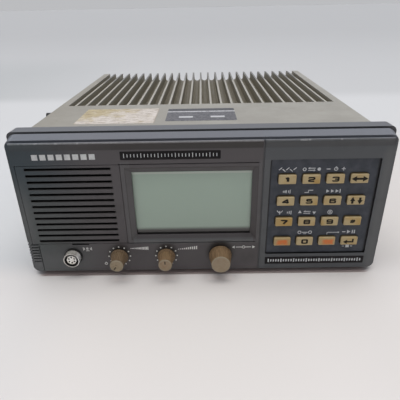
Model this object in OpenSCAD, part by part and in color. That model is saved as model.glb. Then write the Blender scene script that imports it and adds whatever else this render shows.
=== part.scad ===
// Marine single-sideband radio: front panel, seal, rear frame and finned heat-sink housing.
// X runs to the right, Y to the back and Z up. The origin is under the middle of the whole part.

/* [Front panel] */
// How far the raised face stands out beyond the housing on each side
face_side = 7.8; // [7.5:0.1:12]
// Height of the raised face
face_h = 106.2; // [105:0.2:114]
// How far the raised face stands in front of the bezel
face_step = 2.5; // [2:0.1:3]
// Radius of the face's lower corners
face_corner = 4; // [2:0.5:6]
// Thickness of the front wall
wall_t = 3.2; // [3:0.1:4]
// Thickness of the bezel's side walls
shell_t = 3; // [2:0.1:3.4]
// How far the brow over the face stands forward
brow_d = 1.2; // [0.6:0.1:2]
// Height of the brow's cove
brow_h = 5.2; // [4:0.1:6]
// How far the brow's lip stands above the face
lip_up = 0.7; // [0.4:0.1:1]
// Thickness of the brow's lip behind the face's front
lip_t = 0.5; // [0.4:0.1:1]
// Border of the bezel beside the face
border_x = 2.7; // [2:0.1:4]
// Border of the bezel above and below the face
border_z = 1.8; // [1.5:0.1:3]
// Depth of the bezel behind the face
bezel_depth = 9.5; // [9:0.1:12]
// Flare of the bezel's four sides over its depth
flare = 1.9; // [1:0.1:3]
// Radius of the bezel's corners at its front
bezel_corner = 5; // [4:0.5:6]
// Width of the line grooves in the face
groove_w = 0.7; // [0.5:0.1:1]
// Depth of the line grooves in the face
groove_d = 0.8; // [0.5:0.1:1.2]
// Distance from the upright seam to the keypad recess
seam_side = 5; // [4:0.1:5.6]
// Width of the upright seam
seam_w = 1.5; // [1:0.1:1.8]

/* [Seal and rear frame] */
// Thickness of the seal between bezel and frame
seal_t = 2; // [1.5:0.1:3]
// How far the seal lies in from the bezel's edge
seal_inset = 2.4; // [1.5:0.1:3]
// Width of the seal's strip
seal_w = 2.4; // [2:0.1:3]
// How far the frame stands proud of the bezel all round
frame_proud = 0.9; // [0.5:0.1:1.5]
// Depth of the rear frame
frame_depth = 12; // [11:0.5:16]
// Thickness of the frame's side walls
frame_wall = 5; // [4.6:0.1:6]
// Radius of the frame's corners
frame_corner = 4; // [3:0.5:6]
// Thickness of the web at the back of the frame
web_t = 4; // [3:0.1:5]
// Width of the web left at each side of its opening, from the housing's side
web_margin_x = 16; // [14:0.5:18]
// Height of the web left above and below its opening
web_margin_z = 12.9; // [11:0.1:16]

/* [Housing] */
// Width of the heat-sink housing
housing_w = 252; // [250:0.5:256]
// Length of the housing behind the frame
housing_len = 249; // [240:1:280]
// How far the housing's top lies below the frame's top
housing_drop = 0.1; // [0:0.1:1]
// Thickness of the side walls
side_wall = 5; // [4.6:0.1:6]
// Thickness of the metal under the fins
fin_floor = 4; // [3:0.5:6]
// Length of the flat plate in front of the fins
plate_len = 68; // [60:1:80]
// Width of the last channel beside each land
last_channel = 5.76; // [4.5:0.02:7]
// Thickness of a fin at its tip
fin_tip = 1.8; // [1.4:0.1:2.4]
// Extra width of a fin at its root
fin_root_extra = 0.6; // [0:0.1:1]
// Height of the fins
fin_h = 10; // [8:0.5:12]
// Number of fins on each side of the middle one
fins_each_side = 12; // [11:1:12]
// Width of the solid land along each side
land_w = 7.9; // [7.2:0.1:8.4]
// Thickness of the bottom cover
cover_t = 1.5; // [1.2:0.1:2]
// Thickness of the rear panel
rear_t = 3; // [2.5:0.1:4]
// Spacing of the two bracket holes on each side
bracket_spacing = 100; // [80:1:120]
// Radius of a bracket hole
bracket_r = 3; // [2.5:0.1:3.5]
// Depth of the bosses behind the bracket holes
bracket_boss = 6; // [4:0.5:8]
// Length along the housing of the left side bolt
side_bolt_y = 46; // [40:0.5:56]

/* [Speaker] */
// Width of the speaker grille's opening
grille_w = 74.6; // [73:0.1:75]
// Height of the face left above the grille
grille_above = 16; // [15.5:0.1:18]
// Width of the face left beside the grille
grille_side = 1.9; // [1.6:0.1:2.8]
// Lower edge of the grille's opening
grille_low = 25.2; // [25:0.1:26]
// Gap round the grille
grille_gap = 0.35; // [0.2:0.05:0.5]
// Number of slots
slots = 13; // [9:1:13]
// Distance from the grille's edge to the first slot's middle
slot_margin = 2.9; // [2.4:0.1:4]
// Height of a slot
slot_h = 1.7; // [1.2:0.1:2.2]
// Length of a slot
slot_len = 61.3; // [50:0.1:64]
// Distance from the grille's edge to the speaker's cone
cone_margin = 3.5; // [3.2:0.1:8]
// Depth of the speaker's basket
basket_d = 13; // [11:0.5:16]
// Radius of the magnet
magnet_r = 14; // [12:0.5:14.5]
// Thickness of the magnet
magnet_t = 10; // [8:0.5:14]

/* [Display] */
// Distance from the window to the grille's groove and to the seam
window_side = 7.15; // [6.6:0.05:10]
// Height of the face left above the window
window_above = 22.85; // [21:0.05:24]
// Height of the window's lower edge above the lower groove
window_rise = 6; // [5.5:0.05:8]
// Width of the bevel round the window
bevel_w = 4.1; // [3:0.1:4.4]
// Depth of the bevel
bevel_d = 2.4; // [1.5:0.1:2.6]
// Gap between the front wall and the glass
glass_gap = 1.2; // [0.5:0.1:1.6]
// Thickness of the display glass
glass_t = 2.2; // [1.8:0.1:2.6]
// Overlap of the glass behind the window's edge
glass_lap = 2.3; // [1.5:0.1:2.5]

/* [Keypad] */
// Width of the keypad recess
pad_w = 77.7; // [76:0.1:79]
// Height of the face left above the keypad recess
pad_above = 14.2; // [13:0.1:16]
// Width of the face left beside the keypad recess
pad_side = 7.1; // [6.8:0.1:8]
// Height of the face left below the keypad recess
pad_below = 13.5; // [12.5:0.1:15]
// Depth of the recess
pad_d = 2.3; // [2:0.1:2.6]
// Thickness of the recess floor
pad_floor = 2; // [1.5:0.1:2.5]
// Thickness of the keypad plate
plate_t = 1; // [0.8:0.1:1.2]
// Gap round the keypad plate
plate_gap = 0.5; // [0.3:0.1:0.8]
// Width of a key
key_w = 13.2; // [12:0.1:14]
// Height of a key
key_h = 7.7; // [7.2:0.1:8.8]
// Distance between key columns
key_pitch_x = 17.1; // [16.8:0.05:17.4]
// Distance between key rows, as a share of the recess's height
row_share = 0.2204; // [0.215:0.0002:0.224]
// How far the key block lies left of the recess's middle
keys_left = 0.65; // [0:0.05:1.2]
// How far the key block lies below the recess's middle
keys_below = 1.6; // [0:0.05:2]
// How far a key stands out of the face
key_proud = 1.2; // [0.8:0.1:2]
// Travel of a key
key_travel = 1.2; // [0.8:0.1:1.4]
// Clearance round a key in its hole
key_clear = 0.3; // [0.25:0.05:0.4]
// Radius of a key's corners at its foot
key_corner = 2; // [1.5:0.1:2.4]
// Draft of a key's sides over its whole height
key_draft = 0.35; // [0.1:0.05:0.5]

/* [Knobs] */
// Height of the knob row above the face's lower edge
knob_z = 13.3; // [13:0.1:14]
// How far the volume knob lies left of the grille's right edge
volume_left = 7.9; // [7:0.1:9]
// Place of the gain knob, as a share of the way from volume to tuning
gain_share = 0.4665; // [0.44:0.0005:0.5]
// How far the tuning knob lies left of the seam
tuning_left = 30.1; // [28:0.1:31]
// Radius of a small knob at its base
knob_base_r = 6.9; // [6.7:0.05:7.5]
// Radius of a small knob's body above its skirt
knob_body_r = 5.75; // [5.7:0.05:6.4]
// Radius of a small knob at its front
knob_front_r = 5.15; // [4.8:0.05:5.6]
// Radius of the tuning knob at its base
tuning_base_r = 8.9; // [8.5:0.05:9.5]
// Radius of the tuning knob's body above its skirt
tuning_body_r = 8.4; // [8:0.05:8.5]
// Radius of the tuning knob at its front
tuning_front_r = 7.2; // [6.5:0.05:8]
// How far the knobs stand out of the face
knob_len = 13.8; // [12.5:0.1:16]
// Thickness of a knob's skirt
skirt_t = 1.2; // [0.8:0.1:2]
// Gap between a knob and the face
knob_gap = 0.8; // [0.5:0.1:1.2]
// Radius of a knob shaft
shaft_r = 1.6; // [1.4:0.05:1.8]
// Running clearance of a shaft in its bushing
shaft_clear = 0.05; // [0.02:0.01:0.09]

/* [Microphone socket] */
// Distance from the face's left edge to the socket
mic_side = 32.3; // [31:0.1:34]
// Height of the socket above the face's lower edge
mic_z = 14; // [13:0.1:14.5]
// Outer radius of the socket
mic_r = 6.1; // [5.8:0.05:6.3]
// How far the socket stands out
mic_len = 6.5; // [5.5:0.1:8]

/* [Rear sockets] */
// How far the upper row of sockets lies below the housing's ceiling
upper_row_drop = 30.7; // [28:0.1:34]
// Height of the power socket above the cover
lower_row_rise = 37.1; // [34:0.1:40]
// Distance from the right wall to the antenna socket
antenna_side = 33; // [28:1:40]
// Distance from the right wall to the coupler socket
coupler_side = 99; // [90:1:110]
// Distance from the left wall to the power socket
power_side = 63; // [56:1:70]
// Distance from the left wall to the ground stud
ground_side = 23; // [20:1:28]
// Radius of the antenna socket
antenna_r = 7.9; // [7:0.1:9]
// Radius of the coupler socket
coupler_r = 10; // [9:0.1:12]
// Radius of the power socket
power_r = 12; // [10:0.1:13]
// How far the sockets stand out at the back
socket_len = 14; // [10:0.5:18]
// Radius of the ground stud
stud_r = 3; // [2.5:0.1:4]

/* [Hidden] */
$fn = 48;
eps = 0.5;
screw_r = 1.5;
screw_head_r = 2.8;
screw_head_h = 2;
screw_len = 8;
screw_clear = 0.1;
post_r = 3.5;
board_t = 1.6;
nut_clear = 0.05;

// Depths, from the face to the back
y_bezel0 = face_step;
y_bezel1 = face_step + bezel_depth;
y_seal1 = y_bezel1 + seal_t;
y_frame1 = y_seal1 + frame_depth;
y_web0 = y_frame1 - web_t;
y_house1 = y_frame1 + housing_len;
y_fins = y_frame1 + plate_len;
y_board = y_bezel1;
y_pad_floor = pad_d + pad_floor;
y_glass = wall_t + glass_gap;
y_flange = y_pad_floor + 0.2;
flange_t = 1;
y_mat = y_flange + flange_t + key_travel + 0.5;

// Heights
rise = border_z + flare + frame_proud;
z_base = -rise;
z_frame_top = face_h + rise;
z_house_top = z_frame_top - housing_drop;
z_fin_floor = z_house_top - fin_h;
z_ceiling = z_fin_floor - fin_floor;
z_cover = z_base + cover_t;

// Half widths
x_house = housing_w / 2;
x_face = x_house + face_side;
x_bezel0 = x_face + border_x;
x_bezel1 = x_bezel0 + flare;
x_frame = x_bezel1 + frame_proud;
x_inner = x_house - side_wall;

// Whole depth, used to put the origin under the middle
y_shift = (knob_len - y_house1 - socket_len) / 2;

// Layout of the face
grille_left = grille_side - x_face;
grille_right = grille_left + grille_w;
grille_top = face_h - grille_above;
grille_h = grille_top - grille_low;
slot_pitch = (grille_h - 2 * slot_margin) / (slots - 1);
speaker_x = grille_left + grille_w / 2;
speaker_z = grille_low + grille_h / 2;
cone_r = min(grille_w, grille_h) / 2 - cone_margin;
pad_x = x_face - pad_side - pad_w / 2;
pad_h = face_h - pad_above - pad_below;
pad_z = pad_below + pad_h / 2;
keys_x = pad_x - keys_left;
keys_z = pad_z - keys_below;
key_pitch_z = row_share * pad_h;
seam_x = pad_x - pad_w / 2 - seam_side;
window_w = seam_x - grille_right - 2 * window_side;
window_x = grille_right + window_side + window_w / 2;
window_low = grille_low + window_rise;
window_h = face_h - window_above - window_low;
window_z = window_low + window_h / 2;
volume_x = grille_right - volume_left;
tuning_x = seam_x - tuning_left;
gain_x = volume_x + gain_share * (tuning_x - volume_x);
mic_x = mic_side - x_face;
fin_pitch = (x_house - land_w - last_channel - fin_tip / 2) / fins_each_side;
web_open_w = 2 * (x_house - web_margin_x);
web_open_h = z_ceiling - z_cover - 2 * web_margin_z;

// Screw places
panel_post_x = x_bezel0 - shell_t - post_r - 0.7;
seal_low = seal_inset + seal_w - border_z - flare;
panel_post_z = [seal_low + post_r + 0.5, face_h - seal_low - post_r - 0.5];
post_in = 12.6;
post_low = 6;
post_high = face_h - 12.6;
board_posts = [
    [-x_face + post_in + post_r, post_low], [(volume_x + gain_x) / 2, post_low - 1],
    [seam_x - post_r, post_low], [x_face - post_in, post_low],
    [grille_right + post_in - post_r, post_high], [seam_x - post_r - 2.5, post_high],
    [x_face - post_in, post_high]];
frame_screw_x = x_inner - 5.5;
frame_screw_z = [9.6, z_ceiling - 5];
rear_screw_x = x_inner - 7;
rear_screw_z = [8, z_ceiling - 9];
boss = 10;

// Board and speaker limits
board_x1 = x_face - 9.3;
board_low_top = grille_low - 1.7;
pry_w = 13.2;
speaker_plate_t = 1.2;
basket_slot = 10;
cone_d = 7.4;
cone_t = 1;
cone_edge = 4;
cap_r = 6;
cap_rise = 1.2;
y_basket = wall_t + speaker_plate_t;
speaker_screw_up = 3.4;
speaker_screw_side = 24;
speaker_screw_z = grille_top + speaker_screw_up;
speaker_screw_x = [speaker_x - speaker_screw_side, speaker_x + speaker_screw_side];

function key_x(c) = keys_x + (c - 1.5) * key_pitch_x;
function key_z(r) = keys_z + (1.5 - r) * key_pitch_z;

// Cover screws and boards in the housing
cover_screw_r = 1.2;
cover_screw_x = x_house - side_wall / 2 - 0.3;
cover_screw_y = [y_frame1 + 20, y_frame1 + housing_len / 2, y_house1 - 20];
cover_head_r = cover_screw_r + cover_t - 0.2;
board_gap = 18;
board_edge = 6;
main_w = 2 * (x_inner - board_gap + 1);
main_len = housing_len - 2 * board_gap - 4;
main_y = y_frame1 + board_gap;
main_posts = [for (s = [-1, 1], y = [2 * board_edge, main_len - board_edge - 2])
    [s * (main_w / 2 - board_edge), main_y + y]];
main_post_h = screw_len - board_t + 0.6;
z_main = z_cover + main_post_h;
fins_len = housing_len - plate_len;
amplifier_side = 22;
amplifier_w = main_w - 2 * amplifier_side;
amplifier_len = fins_len - 2 * board_gap - 13;
amplifier_y = y_fins + fins_len / 2;
amplifier_posts = [for (x = [-1, 1], y = [-1, 1])
    [x * (amplifier_w / 2 - 2 * board_edge), amplifier_y + y * (amplifier_len / 2 - 2 * board_edge)]];
z_amplifier = z_ceiling - screw_len + board_t;

// Coils and transistors on the boards
coils = 5;
coil_hole_r = 5;
coil_w = 5.5;
coil_h = 7;
coil_pitch = main_w / 8;
coil_back = 48;
coil_y = main_y + main_len - coil_back;
transistor_x = amplifier_w / 5;
flange_w = 26;
flange_len = 10;
flange_h = 1.6;
can_r = 4.8;
can_h = 5;

// Rear sockets on the rear panel
upper_row = z_ceiling - upper_row_drop;
lower_row = z_cover + lower_row_rise;
antenna_at = [x_inner - antenna_side, upper_row];
coupler_at = [x_inner - coupler_side, upper_row];
power_at = [power_side - x_inner, lower_row];
ground_at = [ground_side - x_inner, lower_row - 10];

// Speaker details
slot_shift = -0.1;
speaker_screw_len = 3.5;

// Microphone socket details
mic_thread_r = mic_r - 0.2;
mic_bore_r = mic_r - 1;

// Control and knob details
bushing_r = shaft_r + 1.4;
bushing_len = 4;
pot_w = 15;
shaft_end = y_board - 2;
nut_flats = 7.9;
nut_h = 2;
nut_room = 0.4;
grip_clear = 0.03;
knob_cap = 2;
knob_round = 0.6;
pointer_w = 0.8;
pointer_r = [1.1, 3.9];
volume_rest = 234;
gain_rest = 90;

// Frame, bracket and side bolt details
frame_screw_r = 2;
frame_screw_len = 14;
bracket_y = y_frame1 + housing_len / 2;
bracket_z = (z_base + z_house_top) / 2;
side_bolt_r = 1.6;
side_bolt_head = 4;
side_bolt_z = z_house_top - 2.9;

// Wing nut
wing_hub = 5;
wing_r = 4.5;
wing_t = 2;

// Colours
panel_grey = [0.27, 0.27, 0.29];
frame_grey = [0.45, 0.46, 0.48];
cast_grey = [0.66, 0.65, 0.62];
key_cream = [0.72, 0.66, 0.5];
knob_tan = [0.55, 0.48, 0.38];
board_green = [0.1, 0.35, 0.2];
steel = [0.72, 0.72, 0.74];
brass = [0.72, 0.6, 0.3];
black = [0.08, 0.08, 0.09];

KEY_NAMES = [
    ["key_1", "key_2", "key_3", "key_function_1"],
    ["key_4", "key_5", "key_6", "key_function_2"],
    ["key_7", "key_8", "key_9", "key_hash"],
    ["key_orange_left", "key_0", "key_orange_right", "key_enter"]];

// Moves a piece from the face's own frame to the part's frame
module place() {
    translate([0, y_shift, -z_base]) children();
}

// Extrudes an outline in X and Z from depth y0 to depth y1
module slab(y0, y1) {
    translate([0, y1, 0]) rotate([90, 0, 0]) linear_extrude(y1 - y0) children();
}

// Extrudes an outline in Y and Z from x0 to x1
module bar(x0, x1) {
    translate([x0, 0, 0]) rotate([90, 0, 90]) linear_extrude(x1 - x0) children();
}

// Round bar along Y
module rod(x, z, y0, y1, r, sides = 48) {
    translate([x, y1, z]) rotate([90, 0, 0]) cylinder(h = y1 - y0, r = r, $fn = sides);
}

// Turned piece about Y: the profile's first value is a radius, its second the way towards the viewer
module turned(x, z) {
    translate([x, 0, z]) rotate([90, 0, 0]) rotate_extrude() children();
}

// Rectangle with round corners, by its edges
module rounded(x0, x1, z0, z1, r) {
    translate([x0 + r, z0]) square([x1 - x0 - 2 * r, z1 - z0]);
    translate([x0, z0 + r]) square([x1 - x0, z1 - z0 - 2 * r]);
    for (x = [x0 + r, x1 - r], z = [z0 + r, z1 - r]) translate([x, z]) circle(r);
}

// Rectangle with round corners, by its middle
module rounded_at(x, z, w, h, r) {
    rounded(x - w / 2, x + w / 2, z - h / 2, z + h / 2, r);
}

// Block whose four sides slope from one rectangle at depth ya to another at depth yb
module sloped(xa0, xa1, za0, za1, ya, xb0, xb1, zb0, zb1, yb) {
    low = min(za0, zb0);
    left = min(xa0, xb0);
    intersection() {
        translate([0, 0, low])
            linear_extrude(max(za1, zb1) - low) polygon([[xa0, ya], [xa1, ya], [xb1, yb], [xb0, yb]]);
        bar(left, max(xa1, xb1)) polygon([[ya, za0], [ya, za1], [yb, zb1], [yb, zb0]]);
    }
}

// Cutter for the cross in a screw's head whose top is at 0
module cross_recess(head_r, depth) {
    for (turn = [0, 90]) rotate(turn)
        translate([-0.6 * head_r, -0.14 * head_r, -depth]) cube([1.2 * head_r, 0.28 * head_r, depth + eps]);
}

// Pan-head screw that points down, its head seated at 0
module screw(r = screw_r, len = screw_len, head_r = screw_head_r, head_h = screw_head_h) {
    difference() {
        union() {
            translate([0, 0, -len]) cylinder(h = len + head_h, r = r);
            cylinder(h = head_h, r = head_r);
        }
        translate([0, 0, head_h]) cross_recess(head_r, 0.6 * head_h);
    }
}

// Pan-head screw along Y, head seated at depth y, shank in direction dir
module pan_screw(x, z, y, dir, r = screw_r, len = screw_len, head_r = screw_head_r, head_h = screw_head_h) {
    translate([x, y, z]) rotate([dir * 90, 0, 0]) screw(r, len, head_r, head_h);
}

// Outline of the raised face
module face_outline() {
    rounded(-x_face, x_face, 0, face_h, face_corner);
    rounded(-x_face, x_face, face_h / 2, face_h, face_corner / 2);
}

// Brow over the face: a lip with a groove behind it and a hollow cove below it
module brow() {
    cove_r = (pow(brow_h - 0.8, 2) + brow_d * brow_d) / (2 * brow_d);
    bar(-x_face + 1.5, x_face - 1.5) difference() {
        translate([-brow_d, face_h - brow_h]) square([brow_d + lip_t, brow_h + lip_up]);
        translate([-cove_r, face_h - brow_h]) circle(cove_r);
    }
}

// Bezel block with its flared sides and conical corners
module bezel_block() {
    corner_x = x_bezel0 - bezel_corner;
    corner_z = [bezel_corner - border_z, face_h + border_z - bezel_corner];
    bar(-corner_x, corner_x) polygon([
        [y_bezel0, -border_z], [y_bezel0, face_h + border_z],
        [y_bezel1, face_h + border_z + flare], [y_bezel1, -border_z - flare]]);
    translate([0, 0, corner_z[0]]) linear_extrude(corner_z[1] - corner_z[0]) polygon([
        [-x_bezel0, y_bezel0], [x_bezel0, y_bezel0], [x_bezel1, y_bezel1], [-x_bezel1, y_bezel1]]);
    for (x = [-corner_x, corner_x], z = corner_z) translate([x, y_bezel1, z]) rotate([90, 0, 0])
        cylinder(h = bezel_depth, r1 = bezel_corner + flare, r2 = bezel_corner);
}

// Line grooves in the face
module face_grooves() {
    for (z = [grille_low, grille_top])
        translate([grille_right - 1, -eps, z - groove_w / 2])
            cube([seam_x - seam_w / 2 - 1.2 - grille_right, eps + groove_d, groove_w]);
    translate([seam_x - seam_w / 2, -brow_d - eps, -eps])
        cube([seam_w, brow_d + eps + groove_d, face_h + lip_up + 2 * eps]);
    translate([grille_left + 4.6, -eps, -eps]) cube([groove_w, eps + groove_d, grille_low]);
}

// Finger ribs at the lower left corner
module grip_grooves() {
    rib_pitch = 2.55;
    rib_low = 9.4;
    rib_d = 1.1;
    for (i = [0:6]) translate([0, 0, rib_low + i * rib_pitch - 0.6]) {
        translate([-x_face - eps, -eps, 0]) cube([x_face + grille_left + 4.3 + eps, eps + rib_d, 1.2]);
        translate([-x_bezel1 - eps, -eps, 0])
            cube([x_bezel1 - x_face + rib_d + eps, eps + y_bezel0 + rib_d, 1.2]);
        translate([-x_bezel1 - eps, y_bezel0, 0])
            cube([x_bezel1 - x_bezel0 + rib_d + eps, 0.6 * bezel_depth, 1.2]);
    }
}

// Display window with its sloping bevel
module window_cut() {
    x0 = window_x - window_w / 2;
    x1 = window_x + window_w / 2;
    z0 = window_z - window_h / 2;
    z1 = window_z + window_h / 2;
    out = bevel_w * (1 + eps / bevel_d);
    sloped(x0 - out, x1 + out, z0 - out, z1 + out, -eps, x0, x1, z0, z1, bevel_d);
    translate([x0, bevel_d - 0.01, z0]) cube([window_w, wall_t, window_h]);
}

// Outlines of the holes that the keys pass through
module key_holes() {
    for (r = [0:3], c = [0:3]) rounded_at(key_x(c), key_z(r),
        key_w + 2 * key_clear, key_h + 2 * key_clear, key_corner + key_clear);
}

module front_panel() {
    color(panel_grey) place() difference() {
        union() {
            difference() {
                union() {
                    slab(0, wall_t) face_outline();
                    brow();
                    bezel_block();
                }
                slab(wall_t, y_bezel1 + eps)
                    rounded(-x_bezel0 + shell_t, x_bezel0 - shell_t, shell_t - border_z,
                        face_h + border_z - shell_t, bezel_corner - 2);
            }
            slab(wall_t - eps, y_pad_floor) rounded_at(pad_x, pad_z, pad_w + 5, pad_h + 5, 2);
            for (x = [-panel_post_x, panel_post_x], z = panel_post_z) rod(x, z, wall_t - eps, y_web0, post_r);
            for (p = board_posts) rod(p[0], p[1], wall_t - eps, y_board, post_r - 0.5);
        }
        translate([grille_left, -eps, grille_low]) cube([grille_w, wall_t + 2 * eps, grille_h]);
        window_cut();
        slab(-eps, pad_d) rounded_at(pad_x, pad_z, pad_w, pad_h, 1);
        slab(-eps, y_pad_floor + eps) key_holes();
        rod(mic_x, mic_z, -eps, wall_t + eps, mic_thread_r + nut_clear);
        for (x = [volume_x, gain_x, tuning_x]) rod(x, knob_z, -eps, wall_t + eps, bushing_r + nut_clear);
        face_grooves();
        grip_grooves();
        translate([speaker_x - pry_w / 2 + 0.2, -eps, grille_low - 1]) cube([pry_w, eps + 2, 1 + eps]);
        for (x = [-panel_post_x, panel_post_x], z = panel_post_z)
            rod(x, z, y_frame1 - screw_len - 0.3, y_web0 + eps, screw_r + screw_clear);
        for (p = board_posts)
            rod(p[0], p[1], y_board + board_t - screw_len - 0.3, y_board + eps, screw_r + screw_clear);
        for (x = speaker_screw_x)
            rod(x, speaker_screw_z, y_basket - speaker_screw_len - 0.2, wall_t + eps, screw_r + screw_clear);
    }
}

// Slotted speaker insert
module speaker_grille() {
    slot_z0 = speaker_z - (slots - 1) / 2 * slot_pitch;
    color(panel_grey) place() difference() {
        slab(0, wall_t) rounded(grille_left + grille_gap, grille_right - grille_gap,
            grille_low + grille_gap, grille_top - grille_gap, 0.6);
        for (i = [0:slots - 1]) slab(-eps, wall_t + eps)
            rounded_at(speaker_x + slot_shift, slot_z0 + i * slot_pitch, slot_len, slot_h, slot_h / 5);
    }
}

// Speaker frame: a flat plate with an open conical basket
module speaker_basket() {
    color(steel) place() difference() {
        union() {
            slab(wall_t, y_basket)
                rounded(grille_left - 1, grille_right + 2.8, grille_low - 2.7, grille_top + 6.8, 1);
            turned(speaker_x, speaker_z) polygon([
                [cone_r + 1.2, -y_basket], [cone_r, -y_basket], [magnet_r - 2, -y_basket - basket_d + 1],
                [magnet_r - 2, -y_basket - basket_d], [magnet_r, -y_basket - basket_d]]);
        }
        rod(speaker_x, speaker_z, wall_t - eps, y_basket, cone_r);
        for (x = speaker_screw_x)
            rod(x, speaker_screw_z, wall_t - eps, y_basket + eps, screw_r + screw_clear);
        for (a = [45:90:315]) translate([speaker_x, y_basket + basket_d * 0.5, speaker_z])
            rotate([0, a, 0]) translate([cone_r * 0.45, -basket_d * 0.22, -basket_slot / 2])
                cube([cone_r, basket_d * 0.44, basket_slot]);
    }
}

// Paper cone with its dust cap, held at the basket's front edge
module speaker_cone() {
    lip = cone_r - 0.3;
    back = -wall_t - cone_d;
    front = -wall_t - speaker_plate_t / 2;
    edge = front - 0.8 * cone_t;
    color(black) place() turned(speaker_x, speaker_z) polygon([
        [0, back + cap_rise], [cap_r, back], [lip - cone_edge, edge], [lip, edge],
        [lip, front], [lip - 1.1 * cone_edge, front], [cap_r, back + cone_t], [0, back + cap_rise + cone_t]]);
}

module speaker_magnet() {
    y0 = y_basket + basket_d;
    color(black) place() rod(speaker_x, speaker_z, y0, y0 + magnet_t, magnet_r);
}

module speaker_screws() {
    color(steel) place() for (x = speaker_screw_x)
        pan_screw(x, speaker_screw_z, y_basket, -1, len = speaker_screw_len);
}

// Display glass behind the window
module display_glass() {
    color([0.5, 0.55, 0.5]) place() slab(y_glass, y_glass + glass_t)
        rounded_at(window_x, window_z, window_w + 2 * glass_lap, window_h + 2 * glass_lap, 0.5);
}

// Box that holds the glass off the board
module display_carrier() {
    rim = 3;
    w = window_w + 2 * glass_lap;
    h = window_h + 2 * glass_lap;
    color([0.85, 0.85, 0.82]) place() slab(y_glass + glass_t, y_board) difference() {
        rounded_at(window_x, window_z, w, h, 0.5);
        rounded_at(window_x, window_z, w - 2 * rim, h - 2 * rim, 0.5);
    }
}

// Plate round the keys, seated on the floor of the recess
module keypad_plate() {
    color([0.23, 0.24, 0.27]) place() slab(pad_d - plate_t, pad_d) difference() {
        rounded_at(pad_x, pad_z, pad_w - 2 * plate_gap, pad_h - 2 * plate_gap, 0.8);
        key_holes();
    }
}

// One key: a drafted cap with a flange behind the recess floor
module key(r, c) {
    x = key_x(c);
    z = key_z(r);
    w = key_w / 2;
    h = key_h / 2;
    chamfer = 0.5;
    color(key_cream) place() {
        intersection() {
            slab(-key_proud, y_flange + 0.01) rounded_at(x, z, key_w, key_h, key_corner);
            sloped(x - w + key_draft, x + w - key_draft, z - h + key_draft, z + h - key_draft, -key_proud,
                x - w, x + w, z - h, z + h, y_flange + 0.01);
            sloped(x - w + chamfer + key_draft, x + w - chamfer - key_draft,
                z - h + chamfer + key_draft, z + h - chamfer - key_draft, -key_proud,
                x - w - 8 + chamfer, x + w + 8 - chamfer, z - h - 8 + chamfer, z + h + 8 - chamfer,
                -key_proud + 8);
        }
        slab(y_flange, y_flange + flange_t) rounded_at(x, z, key_w + 2.4, key_h + 2.4, 1);
    }
}

// Soft mat with one pad behind each key, lying on the board
module key_mat() {
    color([0.75, 0.75, 0.72]) place() {
        slab(y_board - 1.5, y_board) rounded_at(keys_x, keys_z, key_pitch_x * 4 + 1, key_pitch_z * 4 + 1, 2);
        for (r = [0:3], c = [0:3]) slab(y_mat, y_board - 1.4)
            rounded_at(key_x(c), key_z(r), key_w - 3, key_h - 2, 1.5);
    }
}

// Board behind the panel: a full field and a low strip under the speaker
module panel_board() {
    color(board_green) place() slab(y_board, y_board + board_t) difference() {
        union() {
            rounded(grille_right + 4.5, board_x1, 2, face_h - 7.5, 1);
            rounded(-board_x1, board_x1, 2, board_low_top, 1);
        }
        for (p = board_posts) translate(p) circle(screw_r + screw_clear);
    }
}

// Threaded microphone socket with a base ring
module mic_socket_shell() {
    color(steel) place() difference() {
        union() {
            rod(mic_x, mic_z, -mic_len, 0, mic_r);
            rod(mic_x, mic_z, -1.2, 0, mic_r + 1);
            rod(mic_x, mic_z, 0, y_board - 0.3, mic_thread_r);
        }
        rod(mic_x, mic_z, -mic_len - eps, y_board, mic_bore_r);
    }
}

// Pin insert: a raised post with six contact holes
module mic_socket_insert() {
    color([0.82, 0.8, 0.74]) place() difference() {
        union() {
            rod(mic_x, mic_z, -mic_len + 0.7, 0, mic_bore_r - 1.4);
            rod(mic_x, mic_z, 0, y_board - 0.3, mic_bore_r - nut_clear);
        }
        for (a = [30:60:330]) rod(mic_x + 2.3 * cos(a), mic_z + 2.3 * sin(a), -mic_len, -mic_len + 4, 0.7);
    }
}

module mic_socket_nut() {
    color(steel) place() difference() {
        rod(mic_x, mic_z, wall_t, wall_t + 2.2, 8.4, 6);
        rod(mic_x, mic_z, wall_t - eps, wall_t + 3, mic_thread_r + nut_clear);
    }
}

// Rotary control body with its threaded bushing through the panel
module rotary_body(x) {
    color([0.3, 0.3, 0.34]) place() difference() {
        union() {
            slab(wall_t, y_board) rounded_at(x, knob_z, pot_w, pot_w, 1);
            rod(x, knob_z, -bushing_len, wall_t + 0.01, bushing_r);
        }
        rod(x, knob_z, -bushing_len - eps, shaft_end + 0.3, shaft_r + shaft_clear);
    }
}

module volume_pot() { rotary_body(volume_x); }
module gain_pot() { rotary_body(gain_x); }
module tuning_encoder() { rotary_body(tuning_x); }

// Nuts that clamp the three controls to the face
module bushing_nuts() {
    color(steel) place() for (x = [volume_x, gain_x, tuning_x]) difference() {
        rod(x, knob_z, -nut_h, 0, nut_flats / 2 / cos(30), 6);
        rod(x, knob_z, -nut_h - eps, eps, bushing_r + nut_clear);
    }
}

// Shaft inside a knob and its control
module shaft(x) {
    color(steel) place() rod(x, knob_z, -knob_len + knob_cap, shaft_end, shaft_r);
}

module volume_shaft() { shaft(volume_x); }
module gain_shaft() { shaft(gain_x); }
module tuning_shaft() { shaft(tuning_x); }

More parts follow.
